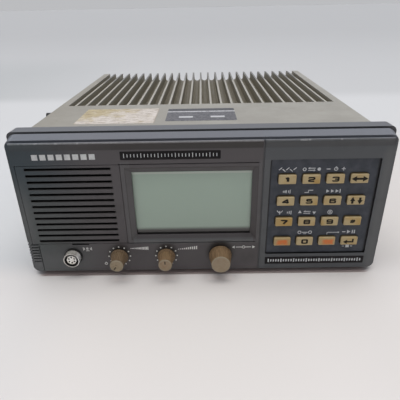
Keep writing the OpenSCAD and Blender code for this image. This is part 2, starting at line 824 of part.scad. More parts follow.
// Tapered knob with a thin skirt and a hollow base over the nut
module knob(x, base_r, body_r, front_r) {
    skirt_top = knob_gap + skirt_t;
    turned(x, knob_z) difference() {
        union() {
            polygon([[0, knob_gap], [base_r, knob_gap], [base_r, skirt_top - 0.3], [base_r - 0.3, skirt_top],
                [body_r, skirt_top + 0.4], [front_r, knob_len - knob_round], [0, knob_len - knob_round]]);
            translate([0, knob_len - 2 * knob_round]) square([front_r - knob_round, 2 * knob_round]);
            translate([front_r - knob_round, knob_len - knob_round]) intersection() {
                circle(knob_round);
                square(knob_round);
            }
        }
        square([nut_flats / 2 / cos(30) + nut_room, bushing_len + nut_room]);
        square([shaft_r + grip_clear, knob_len - knob_cap]);
    }
}

// Pointer groove in a knob's front face
module pointer_groove(x, angle) {
    translate([x, -knob_len, knob_z]) rotate([0, -angle, 0])
        translate([pointer_r[0], -eps, -pointer_w / 2])
            cube([pointer_r[1] - pointer_r[0], eps + 0.4, pointer_w]);
}

module volume_knob() {
    color(knob_tan) place() difference() {
        knob(volume_x, knob_base_r, knob_body_r, knob_front_r);
        pointer_groove(volume_x, volume_rest);
    }
}

module gain_knob() {
    color(knob_tan) place() difference() {
        knob(gain_x, knob_base_r, knob_body_r, knob_front_r);
        pointer_groove(gain_x, gain_rest);
    }
}

module tuning_knob() {
    color(knob_tan) place() knob(tuning_x, tuning_base_r, tuning_body_r, tuning_front_r);
}

// Ring between two rounded outlines, each inset from the frame's or bezel's edge
module ring(x, z0, z1, r, width) {
    difference() {
        rounded(-x, x, z0, z1, r);
        rounded(-x + width, x - width, z0 + width, z1 - width, max(r - width, 0.8));
    }
}

module panel_seal() {
    color(black) place() slab(y_bezel1, y_seal1)
        ring(x_bezel1 - seal_inset, -border_z - flare + seal_inset,
            face_h + border_z + flare - seal_inset, bezel_corner + flare - seal_inset, seal_w);
}

// Rear frame: a rim with a web that seats on the housing
module panel_frame() {
    web_mid = (z_cover + z_ceiling) / 2;
    color(frame_grey) place() difference() {
        union() {
            slab(y_seal1, y_frame1) ring(x_frame, z_base, z_frame_top, frame_corner, frame_wall);
            slab(y_web0, y_frame1) difference() {
                rounded(-x_frame + 1, x_frame - 1, z_base + 1, z_frame_top - 1, frame_corner - 1);
                rounded_at(0, web_mid, web_open_w, web_open_h, 3);
            }
        }
        for (x = [-panel_post_x, panel_post_x], z = panel_post_z)
            rod(x, z, y_web0 - eps, y_frame1 + eps, screw_r + screw_clear);
        for (x = [-frame_screw_x, frame_screw_x], z = frame_screw_z)
            rod(x, z, y_web0 - eps, y_frame1 + eps, frame_screw_r + screw_clear);
    }
}

module frame_screws() {
    color(steel) place() for (x = [-frame_screw_x, frame_screw_x], z = frame_screw_z)
        pan_screw(x, z, y_web0, 1, r = frame_screw_r, len = frame_screw_len, head_r = 3.6, head_h = 2.4);
}

// Outline of one channel between fins, wider at the top, with a round bottom between narrow shoulders
module channel(x0, x1) {
    r = (x1 - x0 - fin_root_extra) / 2;
    polygon([[x0, z_house_top + eps], [x1, z_house_top + eps],
        [x1 - fin_root_extra / 2, z_fin_floor + r / 2], [x0 + fin_root_extra / 2, z_fin_floor + r / 2]]);
    translate([(x0 + x1) / 2, z_fin_floor + r]) circle(r);
}

// Block on the inner side of one wall, on the left for side -1 and on the right for side 1
module wall_boss(side, width, y, len, z) {
    translate([side > 0 ? x_inner - width : -x_inner - eps, y, z - boss / 2])
        cube([width + eps, len, boss]);
}

// Finned casting: top plate and two side walls, open below and at both ends
module heatsink_housing() {
    last = fins_each_side * fin_pitch + fin_tip / 2;
    color(cast_grey) place() difference() {
        union() {
            difference() {
                slab(y_frame1, y_house1) difference() {
                    rounded(-x_house, x_house, z_cover - 4, z_house_top, 1);
                    translate([-x_inner, z_cover - 5]) square([2 * x_inner, z_ceiling - z_cover + 5]);
                    translate([-x_house - 1, z_cover - 5]) square([housing_w + 2, 5]);
                }
                for (i = [-fins_each_side:fins_each_side - 1])
                    slab(y_fins, y_house1 + eps)
                        channel(i * fin_pitch + fin_tip / 2, (i + 1) * fin_pitch - fin_tip / 2);
                slab(y_fins, y_house1 + eps) channel(last, x_house - land_w);
                slab(y_fins, y_house1 + eps) channel(-x_house + land_w, -last);
            }
            for (s = [-1, 1]) {
                for (z = frame_screw_z)
                    wall_boss(s, boss + 0.5, y_frame1, frame_screw_len, z);
                for (z = rear_screw_z)
                    wall_boss(s, boss + 2, y_house1 - rear_t - boss, boss, z);
                for (d = [-0.5, 0.5])
                    translate([s * (x_inner + eps), bracket_y + d * bracket_spacing, bracket_z])
                        rotate([0, -90 * s, 0]) cylinder(h = bracket_boss + eps, r = bracket_r + 3);
            }
            for (p = amplifier_posts) translate([p[0], p[1], z_amplifier])
                cylinder(h = z_ceiling - z_amplifier + eps, r = post_r);
        }
        for (x = [-frame_screw_x, frame_screw_x], z = frame_screw_z)
            rod(x, z, y_frame1 - eps, y_web0 + frame_screw_len + 0.3, frame_screw_r + screw_clear);
        for (x = [-rear_screw_x, rear_screw_x], z = rear_screw_z)
            rod(x, z, y_house1 - screw_len - 0.3, y_house1, screw_r + screw_clear);
        for (s = [-1, 1], d = [-0.5, 0.5])
            translate([s * (x_house + eps), bracket_y + d * bracket_spacing, bracket_z])
                rotate([0, -90 * s, 0]) cylinder(h = side_wall + bracket_boss - 2 + eps, r = bracket_r);
        for (x = [-cover_screw_x, cover_screw_x], y = cover_screw_y)
            translate([x, y, z_cover - eps]) cylinder(h = screw_len + eps, r = cover_screw_r + screw_clear);
        for (p = amplifier_posts) translate([p[0], p[1], z_ceiling - screw_len])
            cylinder(h = screw_len + board_t, r = screw_r + screw_clear);
        translate([-x_house - eps, y_frame1 + side_bolt_y, side_bolt_z]) rotate([0, 90, 0])
            cylinder(h = eps + 10.3, r = side_bolt_r + screw_clear);
    }
}

// Bolt with a round head on the left wall
module side_bolt() {
    color(black) place() translate([-x_house, y_frame1 + side_bolt_y, side_bolt_z]) rotate([0, 90, 0]) {
        cylinder(h = 10, r = side_bolt_r);
        translate([0, 0, -side_bolt_head]) cylinder(h = side_bolt_head, r = side_bolt_r + 0.8);
    }
}

// Flat cover under the housing with the posts of the main board
module bottom_cover() {
    color(cast_grey) place() difference() {
        union() {
            translate([-x_house, y_frame1, z_base]) cube([housing_w, housing_len, cover_t]);
            for (p = main_posts) translate([p[0], p[1], z_cover - eps])
                cylinder(h = main_post_h + eps, r = post_r);
        }
        for (x = [-cover_screw_x, cover_screw_x], y = cover_screw_y) translate([x, y, z_base - 0.01]) {
            cylinder(h = cover_t - 0.19, r1 = cover_head_r + screw_clear, r2 = cover_screw_r + screw_clear);
            cylinder(h = cover_t + 1, r = cover_screw_r + screw_clear);
        }
        for (p = main_posts) translate([p[0], p[1], z_cover + 0.3])
            cylinder(h = main_post_h + eps, r = screw_r + screw_clear);
    }
}

// Countersunk screws under the cover
module cover_screws() {
    color(steel) place() for (x = [-cover_screw_x, cover_screw_x], y = cover_screw_y)
        translate([x, y, z_base + 0.1]) difference() {
            union() {
                cylinder(h = cover_t - 0.3, r1 = cover_head_r, r2 = cover_screw_r);
                cylinder(h = screw_len, r = cover_screw_r);
            }
            rotate([180, 0, 0]) cross_recess(cover_head_r, 0.6);
        }
}

// Panel that closes the back of the housing
module rear_panel() {
    gap = 0.2;
    color(cast_grey) place() slab(y_house1 - rear_t, y_house1) difference() {
        rounded(-x_inner + gap, x_inner - gap, z_cover + gap, z_ceiling - gap, 0.5);
        for (x = [-rear_screw_x, rear_screw_x], z = rear_screw_z)
            translate([x, z]) circle(screw_r + screw_clear);
        translate(antenna_at) circle(antenna_r - 1 + nut_clear);
        translate(coupler_at) circle(coupler_r - 1 + nut_clear);
        translate(power_at) circle(power_r - 1 + nut_clear);
        translate(ground_at) circle(stud_r + nut_clear);
    }
}

// Every identical pan-head screw
module machine_screws() {
    color(steel) place() {
        for (x = [-panel_post_x, panel_post_x], z = panel_post_z) pan_screw(x, z, y_frame1, -1);
        for (p = board_posts) pan_screw(p[0], p[1], y_board + board_t, -1);
        for (x = [-rear_screw_x, rear_screw_x], z = rear_screw_z) pan_screw(x, z, y_house1, -1);
        for (p = main_posts) translate([p[0], p[1], z_main + board_t]) screw();
        for (p = amplifier_posts) translate([p[0], p[1], z_amplifier - board_t]) rotate([180, 0, 0]) screw();
    }
}

module main_board() {
    color(board_green) place() difference() {
        translate([-main_w / 2, main_y, z_main]) cube([main_w, main_len, board_t]);
        for (p = main_posts) translate([p[0], p[1], z_main - eps])
            cylinder(h = board_t + 2 * eps, r = screw_r + screw_clear);
    }
}

// Ring cores of the output filter on the main board
module filter_coils() {
    color([0.7, 0.6, 0.2]) place() for (i = [0:coils - 1])
        translate([(i - 3) * coil_pitch, coil_y, z_main + board_t])
            rotate_extrude() translate([coil_hole_r, 0]) square([coil_w, coil_h]);
}

module amplifier_board() {
    color(board_green) place() difference() {
        translate([-amplifier_w / 2, amplifier_y - amplifier_len / 2, z_amplifier - board_t])
            cube([amplifier_w, amplifier_len, board_t]);
        for (p = amplifier_posts) translate([p[0], p[1], z_amplifier - board_t - eps])
            cylinder(h = board_t + 2 * eps, r = screw_r + screw_clear);
    }
}

// Flange transistors seated under the fins
module amplifier_transistors() {
    color(black) place() for (x = [-transistor_x, transistor_x]) translate([x, amplifier_y, z_ceiling]) {
        translate([-flange_w / 2, -flange_len / 2, -flange_h]) cube([flange_w, flange_len, flange_h]);
        translate([0, 0, -can_h]) cylinder(h = can_h, r = can_r);
    }
}

// Round threaded socket on the rear panel, hollow for its insert
module rear_socket(at, r) {
    color(steel) place() difference() {
        union() {
            rod(at[0], at[1], y_house1, y_house1 + 2, r + 3);
            rod(at[0], at[1], y_house1, y_house1 + socket_len, r);
            rod(at[0], at[1], y_house1 - rear_t - 6, y_house1 + 0.01, r - 1);
        }
        rod(at[0], at[1], y_house1 - rear_t - 7, y_house1 + socket_len + eps, r - 2);
    }
}

module antenna_socket() { rear_socket(antenna_at, antenna_r); }
module coupler_socket() { rear_socket(coupler_at, coupler_r); }
module power_socket() { rear_socket(power_at, power_r); }

// One insert with a ring of contact holes, or a single middle one
module socket_insert(at, r, contacts, contact_r) {
    y1 = y_house1 + socket_len - 1.5;
    difference() {
        rod(at[0], at[1], y_house1 - rear_t - 5.5, y1, r - 2 - nut_clear);
        for (i = [0:max(contacts - 1, 0)]) {
            reach = contacts > 1 ? (r - 2) * 0.58 : 0;
            turn = i * 360 / contacts;
            rod(at[0] + reach * cos(turn), at[1] + reach * sin(turn), y1 - 8, y1 + eps, contact_r);
        }
    }
}

module socket_inserts() {
    color([0.2, 0.2, 0.2]) place() {
        socket_insert(antenna_at, antenna_r, 1, 2);
        socket_insert(coupler_at, coupler_r, 8, 0.9);
        socket_insert(power_at, power_r, 4, 1.6);
    }
}

// Hexagon nuts that clamp the rear sockets from inside
module socket_nuts() {
    color(steel) place() for (s = [[antenna_at, antenna_r], [coupler_at, coupler_r], [power_at, power_r]])
        difference() {
            rod(s[0][0], s[0][1], y_house1 - rear_t - 3, y_house1 - rear_t, s[1] + 2.5, 6);
            rod(s[0][0], s[0][1], y_house1 - rear_t - 4, y_house1 - rear_t + eps, s[1] - 1 + nut_clear);
        }
}

// Ground stud through the rear panel with a collar inside
module ground_stud() {
    color(brass) place() {
        rod(ground_at[0], ground_at[1], y_house1 - rear_t - 3, y_house1 + socket_len - 1, stud_r);
        rod(ground_at[0], ground_at[1], y_house1 - rear_t - 3, y_house1 - rear_t, stud_r + 2);
    }
}

// Wing nut on the ground stud
module ground_nut() {
    color(brass) place() difference() {
        union() {
            rod(ground_at[0], ground_at[1], y_house1, y_house1 + wing_hub, stud_r + 2.5);
            for (s = [-1, 1])
                translate([ground_at[0] + s * (stud_r + wing_r), y_house1 + wing_r + 1, ground_at[1]])
                    translate([0, 0, -wing_t / 2]) cylinder(h = wing_t, r = wing_r);
        }
        rod(ground_at[0], ground_at[1], y_house1 - eps, y_house1 + 2 * wing_r + 2, stud_r + nut_clear);
    }
}

front_panel();
speaker_grille();
speaker_basket();
speaker_cone();
speaker_magnet();
speaker_screws();
display_glass();
display_carrier();
keypad_plate();
key_mat();
panel_board();
mic_socket_shell();
mic_socket_insert();
mic_socket_nut();
volume_pot();
gain_pot();
tuning_encoder();
bushing_nuts();
volume_knob();
volume_shaft();
gain_knob();
gain_shaft();
tuning_knob();
tuning_shaft();
panel_seal();
panel_frame();
frame_screws();
heatsink_housing();
side_bolt();
bottom_cover();
cover_screws();
rear_panel();
machine_screws();
main_board();
filter_coils();
amplifier_board();
amplifier_transistors();
antenna_socket();
coupler_socket();
power_socket();
socket_inserts();
socket_nuts();
ground_stud();
ground_nut();
for (r = [0:3], c = [0:3]) key(r, c);
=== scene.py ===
"""Dresses a packed marine radio with finishes, printed signs and plates, and lights it."""

import logging
import math
from dataclasses import dataclass, replace
from enum import Enum
from typing import Callable, ClassVar, Iterable, Mapping, Optional, Sequence, Union

import bpy
from mathutils import Matrix, Vector


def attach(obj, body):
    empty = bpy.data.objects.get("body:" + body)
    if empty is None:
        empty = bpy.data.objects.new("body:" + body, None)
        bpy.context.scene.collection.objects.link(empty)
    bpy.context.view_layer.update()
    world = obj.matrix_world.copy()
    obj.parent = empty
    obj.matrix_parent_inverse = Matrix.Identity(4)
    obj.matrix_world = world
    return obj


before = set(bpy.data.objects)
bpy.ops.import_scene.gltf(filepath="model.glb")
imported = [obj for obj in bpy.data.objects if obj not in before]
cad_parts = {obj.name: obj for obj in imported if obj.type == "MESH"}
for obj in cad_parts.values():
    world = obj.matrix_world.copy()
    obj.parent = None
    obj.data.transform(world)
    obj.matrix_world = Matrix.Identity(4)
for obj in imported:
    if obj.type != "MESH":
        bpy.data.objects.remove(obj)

LOG = logging.getLogger("radio")
Colour = tuple[float, float, float]
Span = tuple[float, float]
Edges = tuple[float, float, float, float]
Operand = Union["Value", float]
Placed = tuple["Mark", float, float]
Looks = Mapping[str, Sequence[str]]
Piece = bpy.types.Object
Material = bpy.types.Material
World = bpy.types.World

# Place of the face in the shared frame, in millimetres
FACE_Y = -137.6
FACE_Z = 4.6
# Top of the housing above the face's lower edge, in millimetres
HOUSING_TOP = 110.7
# Middles of the knobs and of the microphone socket on the face, and the knobs' length, in millimetres
KNOB_X = {"volume": -65.2, "gain": -28.3, "tuning": 13.9}
KNOB_Z = 13.3
KNOB_OUT = 13.8
SOCKET_AT = (-101.4, 14.0)
# Middle of the keypad and the way from key to key, in millimetres
PAD_AT = (87.2, 51.15)
PAD_PITCH = (17.1, 17.3)
# Thickness of printed ink, in millimetres
INK = 0.06


def on_face(x: float, z: float, out: float = 0.0) -> Vector:
    """Gives a point of the face in the shared frame.

    Args:
        x: Millimetres to the right of the middle.
        z: Millimetres above the face's lower edge.
        out: Millimetres in front of the face.

    Returns:
        The point in metres.
    """
    return Vector((x, FACE_Y - out, z + FACE_Z)) / 1000


def on_top(x: float, y: float, up: float = 0.0) -> Vector:
    """Gives a point of the housing's top in the shared frame.

    Args:
        x: Millimetres to the right of the middle.
        y: Millimetres behind the face.
        up: Millimetres above the housing's top.

    Returns:
        The point in metres.
    """
    return Vector((x, FACE_Y + y, HOUSING_TOP + FACE_Z + up)) / 1000


def round_knob(name: str, away: float, turn: float) -> Span:
    """Gives a place on the face beside a knob's axis.

    Args:
        name: The knob.
        away: Millimetres from the axis.
        turn: Degrees from the right, anticlockwise.

    Returns:
        The place in millimetres.
    """
    angle = math.radians(turn)
    return KNOB_X[name] + away * math.cos(angle), KNOB_Z + away * math.sin(angle)


def math_node(operation: str, swapped: bool = False) -> Callable[..., "Value"]:
    """Makes a method of Value that adds one Math node.

    Args:
        operation: The node's operation.
        swapped: Whether the other operand comes first.

    Returns:
        The method.
    """

    def method(value: "Value", other: Operand = 0.0) -> "Value":
        """Adds the node for a value and another operand."""
        pair = (other, value) if swapped else (value, other)
        return value.graph.node("ShaderNodeMath", {"operation": operation}, dict(enumerate(pair)))

    return method


class Value:
    """A shader socket that Python's operators can work on."""

    __add__ = math_node("ADD")
    __radd__ = math_node("ADD", True)
    __sub__ = math_node("SUBTRACT")
    __rsub__ = math_node("SUBTRACT", True)
    __mul__ = math_node("MULTIPLY")
    __rmul__ = math_node("MULTIPLY", True)
    __truediv__ = math_node("DIVIDE")
    __pow__ = math_node("POWER")
    __abs__ = math_node("ABSOLUTE")
    angle = math_node("ARCTAN2")
    larger = math_node("MAXIMUM")
    sine = math_node("SINE")
    _bounce = math_node("PINGPONG")

    def __init__(self, graph: "Graph", socket: bpy.types.NodeSocket) -> None:
        """Keeps the socket and the graph it belongs to."""
        self.graph = graph
        self.socket = socket

    def wrapped(self, period: float) -> "Value":
        """Distance to the nearest multiple of a period."""
        return self._bounce(period / 2)

    def hypot(self, other: "Value") -> "Value":
        """Length of a line that goes this far one way and that far the other."""
        return (self**2.0 + other**2.0) ** 0.5


class Graph:
    """The node tree of a material or a world, with short ways to add nodes."""

    def __init__(self, owner: Union[Material, World]) -> None:
        """Empties the owner's tree.

        Args:
            owner: The material or world to fill.
        """
        owner.use_nodes = True
        self.owner = owner
        self.tree = owner.node_tree
        self.tree.nodes.clear()

    def node(
        self,
        kind: str,
        settings: Optional[Mapping[str, object]] = None,
        inputs: Optional[Mapping[Union[str, int], object]] = None,
        output: Union[str, int] = 0,
    ) -> Value:
        """Adds any node.

        Args:
            kind: The node's type.
            settings: The node's own settings, set before its sockets.
            inputs: A number, colour or Value for each socket, by name or index.
            output: The output socket to hand back.

        Returns:
            The chosen output.
        """
        made = self.tree.nodes.new(kind)
        for key, setting in (settings or {}).items():
            setattr(made, key, setting)
        for key, value in (inputs or {}).items():
            socket = made.inputs[key]
            if isinstance(value, Value):
                self.tree.links.new(value.socket, socket)
            elif socket.type == "RGBA":
                socket.default_value = (*value, 1.0)
            else:
                socket.default_value = value
        return Value(self, made.outputs[output])

    def split(self, vector: Value) -> tuple[Value, Value, Value]:
        """Splits a vector into its three parts."""
        made = self.node("ShaderNodeSeparateXYZ", inputs={0: vector}).socket.node
        return tuple(Value(self, socket) for socket in made.outputs)

    def vector(self, x: Operand, y: Operand, z: Operand) -> Value:
        """Joins three parts into a vector."""
        return self.node("ShaderNodeCombineXYZ", inputs={0: x, 1: y, 2: z})

    def step(self, value: Value, low: float, high: float) -> Value:
        """Rises smoothly from 0 at low to 1 at high."""
        inputs = {"Value": value, "From Min": low, "From Max": high}
        return self.node("ShaderNodeMapRange", {"interpolation_type": "SMOOTHSTEP"}, inputs)

    def band(self, value: Value, low: float, high: float, soft: float) -> Value:
        """Is 1 between two limits and 0 outside them, with soft edges."""
        return self.step(value, low - soft, low + soft) * (1 - self.step(value, high - soft, high + soft))

    def layers(self, first: object, *coats: tuple[object, Operand]) -> Value:
        """Lays colours over one another.

        Args:
            first: The lowest colour.
            coats: Each further colour, with the share by which it covers what lies below.

        Returns:
            The colour that shows.
        """
        settings = {"data_type": "RGBA", "clamp_factor": True}
        for colour, share in coats:
            first = self.node("ShaderNodeMix", settings, {0: share, 6: first, 7: colour}, 2)
        return first

    def end(self, shader: Value, kind: str) -> Union[Material, World]:
        """Links the last shader to an output node of that kind and hands back the owner.

        Args:
            shader: The last shader.
            kind: Type of the output node.

        Returns:
            The material or world.
        """
        made = self.tree.nodes.new(kind)
        self.tree.links.new(shader.socket, made.inputs["Surface"])
        return self.owner


class Surface(Graph):
    """The node tree of a material that knows where each point of the surface is, in millimetres."""

    def __init__(self, name: str) -> None:
        """Starts an empty material and reads the point's place.

        Args:
            name: Name of the material.
        """
        super().__init__(bpy.data.materials.new(name))
        metres = self.node("ShaderNodeTexCoord", output="Object")
        self.at = self.node("ShaderNodeVectorMath", {"operation": "SCALE"}, {0: metres, "Scale": 1000.0})
        self.x, self.y, self.z = self.split(self.at)
        self.behind = self.y - FACE_Y
        self.up = self.z - FACE_Z

    def noise(
        self, size: float, detail: float = 2.0, roughness: float = 0.5, at: Optional[Value] = None
    ) -> Value:
        """Adds cloudy noise.

        Args:
            size: Size of its blotches in millimetres.
            detail: Number of finer layers.
            roughness: Weight of the finer layers.
            at: Where to read it, if not at the point itself.

        Returns:
            A value about one half.
        """
        return self.node(
            "ShaderNodeTexNoise",
            inputs={"Vector": at or self.at, "Scale": 1 / size, "Detail": detail, "Roughness": roughness},
        )

    def area(self, edges: Edges, soft: float, grown: float = 0.0) -> Value:
        """Is 1 inside a rectangle of the face and 0 outside it.

        Args:
            edges: Left, right, lower and upper edge.
            soft: Half the width of its soft rim.
            grown: How much larger it is made on every side.

        Returns:
            The mask.
        """
        left, right, low, high = edges
        across = self.band(self.x, left - grown, right + grown, soft)
        return across * self.band(self.up, low - grown, high + grown, soft)

    def away(self, spot: Span) -> Value:
        """Distance from a spot of the face."""
        return (self.x - spot[0]).hypot(self.up - spot[1])

    def bump(self, height: Value, depth: float, strength: float = 1.0) -> Value:
        """Turns a height from 0 to 1 into a bent normal, for a depth in millimetres."""
        inputs = {"Height": height, "Distance": depth / 1000, "Strength": strength}
        return self.node("ShaderNodeBump", inputs=inputs)

    def finish(self, base: Value, roughness: Value, **others: object) -> Material:
        """Ends the material in a Principled surface.

        Args:
            base: Its colour.
            roughness: Its roughness.
            others: Values of other sockets, with underscores for spaces.

        Returns:
            The material.
        """
        inputs = {"Base Color": base, "Roughness": roughness}
        inputs.update((key.replace("_", " "), value) for key, value in others.items())
        return self.end(self.node("ShaderNodeBsdfPrincipled", inputs=inputs), "ShaderNodeOutputMaterial")


@dataclass(frozen=True)
class Finish:
    """Recipe of a material."""

    name: str

    def make(self) -> Material:
        """Builds the material."""
        return self.coat(Surface(self.name))

    def coat(self, g: Surface) -> Material:
        """Adds the finish to an empty surface."""
        raise NotImplementedError


@dataclass(frozen=True)
class Speckled(Finish):
    """Plain finish with clouds, fine grain and uneven gloss."""

    colour: Colour
    second: Colour
    gloss: Span = (0.45, 0.65)
    metal: float = 0.0
    cloud: float = 6.0
    grain: float = 0.5
    depth: float = 0.03
    shine: float = 0.5

    def coat(self, g: Surface) -> Material:
        """Adds the finish to an empty surface.

        Args:
            g: The surface to work on.

        Returns:
            The finished material.
        """
        cloud = g.noise(self.cloud, 4.0, 0.6)
        low, high = self.gloss
        return g.finish(
            g.layers(self.colour, (self.second, g.step(cloud, 0.35, 0.7))),
            low + (high - low) * cloud,
            Metallic=self.metal,
            Specular_IOR_Level=self.shine,
            Normal=g.bump(g.noise(self.grain), self.depth),
        )


@dataclass(frozen=True)
class MouldedPanel(Finish):
    """Dark glossy stippled moulding with painted shade in its hollows, cove and creases, painted
    highlights on its ends and margins, a painted sheen on its top, a rubbed and highlighted brow lip, and
    grime with painted dark reflections round the knobs.
    """

    left: Colour = (0.058, 0.067, 0.067)
    left_high: Colour = (0.019, 0.034, 0.044)
    middle: Colour = (0.068, 0.061, 0.065)
    right: Colour = (0.065, 0.071, 0.078)
    # Colour of the painted highlights on the face's ends and on the margins beside the windows
    edge: Colour = (0.100, 0.103, 0.106)
    # Colour of the brow's lip, worn and painted as a highlight
    wear_and_highlight: Colour = (0.45, 0.46, 0.47)
    # Colour of the painted sheen, a blue-grey reflection of the sky on the top of the brow and the bezel
    top_sheen: Colour = (0.114, 0.122, 0.146)
    # Colour of the grime, also used for painted shade in the cove, the bevel's crease and round the knobs
    grime: Colour = (0.012, 0.010, 0.008)
    # Colour of the painted shade in the hollows
    black: Colour = (0.004, 0.004, 0.004)
    darkens_up: Span = (45.0, 92.0)
    left_ends: Span = (-128.0, -70.0)
    seam: float = 44.0
    brow: Span = (101.0, 105.7)
    brow_top: Span = (105.6, 106.0)
    sheen_front: Span = (-0.9, -0.5)
    sheen_back: Span = (0.2, 0.8)
    cove_x: Span = (-120.0, -50.0)
    cove_depth: Span = (0.3, 0.6)
    lip: Span = (106.0, 107.0)
    lip_depth: Span = (-0.9, -0.3)
    recess: Edges = (48.8, 126.7, 13.4, 92.1)
    window: Edges = (-50.3, 37.0, 31.0, 83.5)
    bevel: float = 4.1
    crease: float = 0.6
    grille: Edges = (-131.9, -57.1, 25.1, 90.3)
    pry_slot: Edges = (-101.3, -87.3, 23.6, 25.6)
    slots: Edges = (-125.4, -63.6, 25.1, 90.3)
    slot_z: float = 28.1
    slot_pitch: float = 4.933
    slot_height: float = 1.7
    slot_lip_reach: Span = (0.1, 0.5)
    slot_drop: float = 0.25
    depths: tuple[float, float, float] = (0.25, 4.0, 0.12)
    scuffs: tuple[Span, ...] = ((-113.0, 1.1), (-99.0, 0.8), (-84.0, 0.6), (71.5, 3.6), (96.0, 0.8))
    # Spots round the knobs, each a knob and its reach, with grime and the painted shade of the knob's
    # reflection
    knob_spots: tuple[tuple[str, float], ...] = (("volume", 7.6), ("gain", 7.6), ("tuning", 9.6))
    knob_spot_up: float = 2.2
    knob_spot_soft: Span = (1.5, 3.2)
    knob_spot_depth: Span = (0.1, 0.4)
    lit: tuple[tuple[Edges, float], ...] = (
        ((44.6, 48.8, 2.0, 92.0), 0.3),
        ((-57.0, -50.6, 24.0, 92.0), 0.3),
        ((-52.6, 39.2, 24.5, 28.5), 0.85),
        ((41.2, 43.4, 24.0, 92.0), 0.35),
        ((-50.3, 37.0, 83.5, 86.6), 0.35),
    )
    lit_ends: tuple[tuple[Span, Span, float], ...] = (
        ((125.0, 131.5), (94.0, 104.0), 0.75),
        ((-125.0, -131.5), (45.0, 90.0), 0.6),
        ((-75.0, -105.0), (10.0, 24.0), 0.6),
    )

    def coat(self, g: Surface) -> Material:
        """Adds the finish to an empty surface.

        Args:
            g: The surface to work on.

        Returns:
            The finished material.
        """
        cloud = g.noise(24.0, 4.0, 0.6)
        flecks = g.noise(2.6, 3.0, 0.7)
        sheen_share = 0.4 * g.step(g.behind, *self.sheen_front) + 0.35 * g.step(g.behind, *self.sheen_back)
        base = g.layers(
            self.left,
            # painted shade: the face's left part darker towards the top
            (self.left_high, g.step(g.up, *self.darkens_up)),
            (self.middle, g.step(g.x, *self.left_ends)),
            (self.right, self._past_seam(g, 0.6)),
            # painted highlights on the face's ends and on the margins beside the windows
            (self.edge, self._lit(g)),
            (self.grime, g.step(cloud, 0.5, 0.85) * 0.35),
            # painted shade in the cove under the brow
            (self.grime, self._shade(g)),
            # grime and the painted shade of each knob's dark reflection in the face
            (self.grime, self._knob_grime_and_shade(g, flecks)),
            # darker along the lips of the grille's slots
            (self.grime, self._slot_lip_darkening(g) * 0.6),
            # painted shade in the crease round the window's bevel and on its lower and right sides
            (self.grime, self._bevel_shade(g)),
            # painted shade, in black, on the walls of the recess, the display's ledge and the grille's
            # slots
            (self.black, self._hollows(g)),
            # painted sheen: a blue-grey reflection of the sky on the top of the brow and the bezel
            (self.top_sheen, g.step(g.up, *self.brow_top) * sheen_share),
            # the brow's lip, worn and painted with a highlight line
            (self.wear_and_highlight, self._wear_and_highlight(g, flecks)),
        )
        return g.finish(base, 0.3 + 0.14 * cloud, Normal=g.bump(g.noise(0.45), 0.035, 0.5))

    def _past_seam(self, g: Surface, soft: float) -> Value:
        """Marks the face to the right of its seam."""
        return g.step(g.x, self.seam - soft, self.seam + soft)

    def _shade(self, g: Surface) -> Value:
        """Marks the painted shade in the cove under the brow, which fades towards both ends."""
        share = 0.22 + 0.56 * g.step(g.x, *self.cove_x) - 0.5 * self._past_seam(g, 1.0)
        return g.band(g.up, *self.brow, 0.5) * (1 - g.step(g.behind, *self.cove_depth)) * share

    def _lit(self, g: Surface) -> Value:
        """Marks the painted highlights on the ends of the face and on the margins beside the windows.

        Args:
            g: The surface to work on.

        Returns:
            The mask.
        """
        marks: Operand = 0.0
        for sideways, upwards, share in self.lit_ends:
            marks = g.step(g.x, *sideways) * (1 - g.step(g.up, *upwards)) * share + marks
        for edges, share in self.lit:
            marks = g.area(edges, 0.4) * share + marks
        return marks

    def _slot_lip_darkening(self, g: Surface) -> Value:
        """Marks the darkening along the lips of the grille's slots.

        Args:
            g: The surface to work on.

        Returns:
            The mask.
        """
        half = self.slot_height / 2
        away = (g.up - self.slot_z + self.slot_drop).wrapped(self.slot_pitch)
        lip = 1 - g.step(away, *(half + beyond for beyond in self.slot_lip_reach))
        return lip * g.area(self.slots, 0.3)

    def _bevel_shade(self, g: Surface) -> Value:
        """Marks the painted shade in the crease round the window's bevel and on the bevel's lower and
        right sides.

        Args:
            g: The surface to work on.

        Returns:
            The mask.
        """
        _, right, low, _ = self.window
        inner = g.area(self.window, 0.15, self.bevel - self.crease)
        crease = g.area(self.window, 0.15, self.bevel) - inner
        crease = crease * g.step(g.up, low - self.bevel + 0.7, low - self.bevel + 1.3)
        shaded = (1 - g.step(g.up, low - 0.6, low + 0.2)).larger(g.step(g.x, right - 0.2, right + 0.6))
        return crease * 0.45 + inner * shaded * 0.16

    def _hollows(self, g: Surface) -> Value:
        """Marks the painted shade, in black, on the walls of the keypad's recess, the display's ledge and
        the grille's slots.

        Args:
            g: The surface to work on.

        Returns:
            The mask.
        """
        recess, ledge, slot = self.depths
        marks: Operand = 0.0
        places = ((self.recess, recess), (self.window, ledge), (self.grille, slot), (self.pry_slot, slot))
        for edges, depth in places:
            marks = g.area(edges, 0.05) * g.step(g.behind, depth - 0.1, depth + 0.1) + marks
        return marks

    def _wear_and_highlight(self, g: Surface, flecks: Value) -> Value:
        """Marks the brow's lip, worn and painted with a highlight line, and a few scuffs along it.

        Args:
            g: The surface to work on.
            flecks: Fine noise that breaks the mask up.

        Returns:
            The mask.
        """
        lip = g.band(g.up, *self.lip, 0.1) * (1 - g.step(g.behind, *self.lip_depth))
        rubbed = lip * (0.1 + 0.5 * flecks) * (1 - 0.6 * self._past_seam(g, 1.0))
        for middle, half in self.scuffs:
            fleck = g.band(g.x, middle - half, middle + half, 0.4) * g.step(flecks, 0.35, 0.6)
            rubbed = lip * fleck * 0.45 + rubbed
        return rubbed

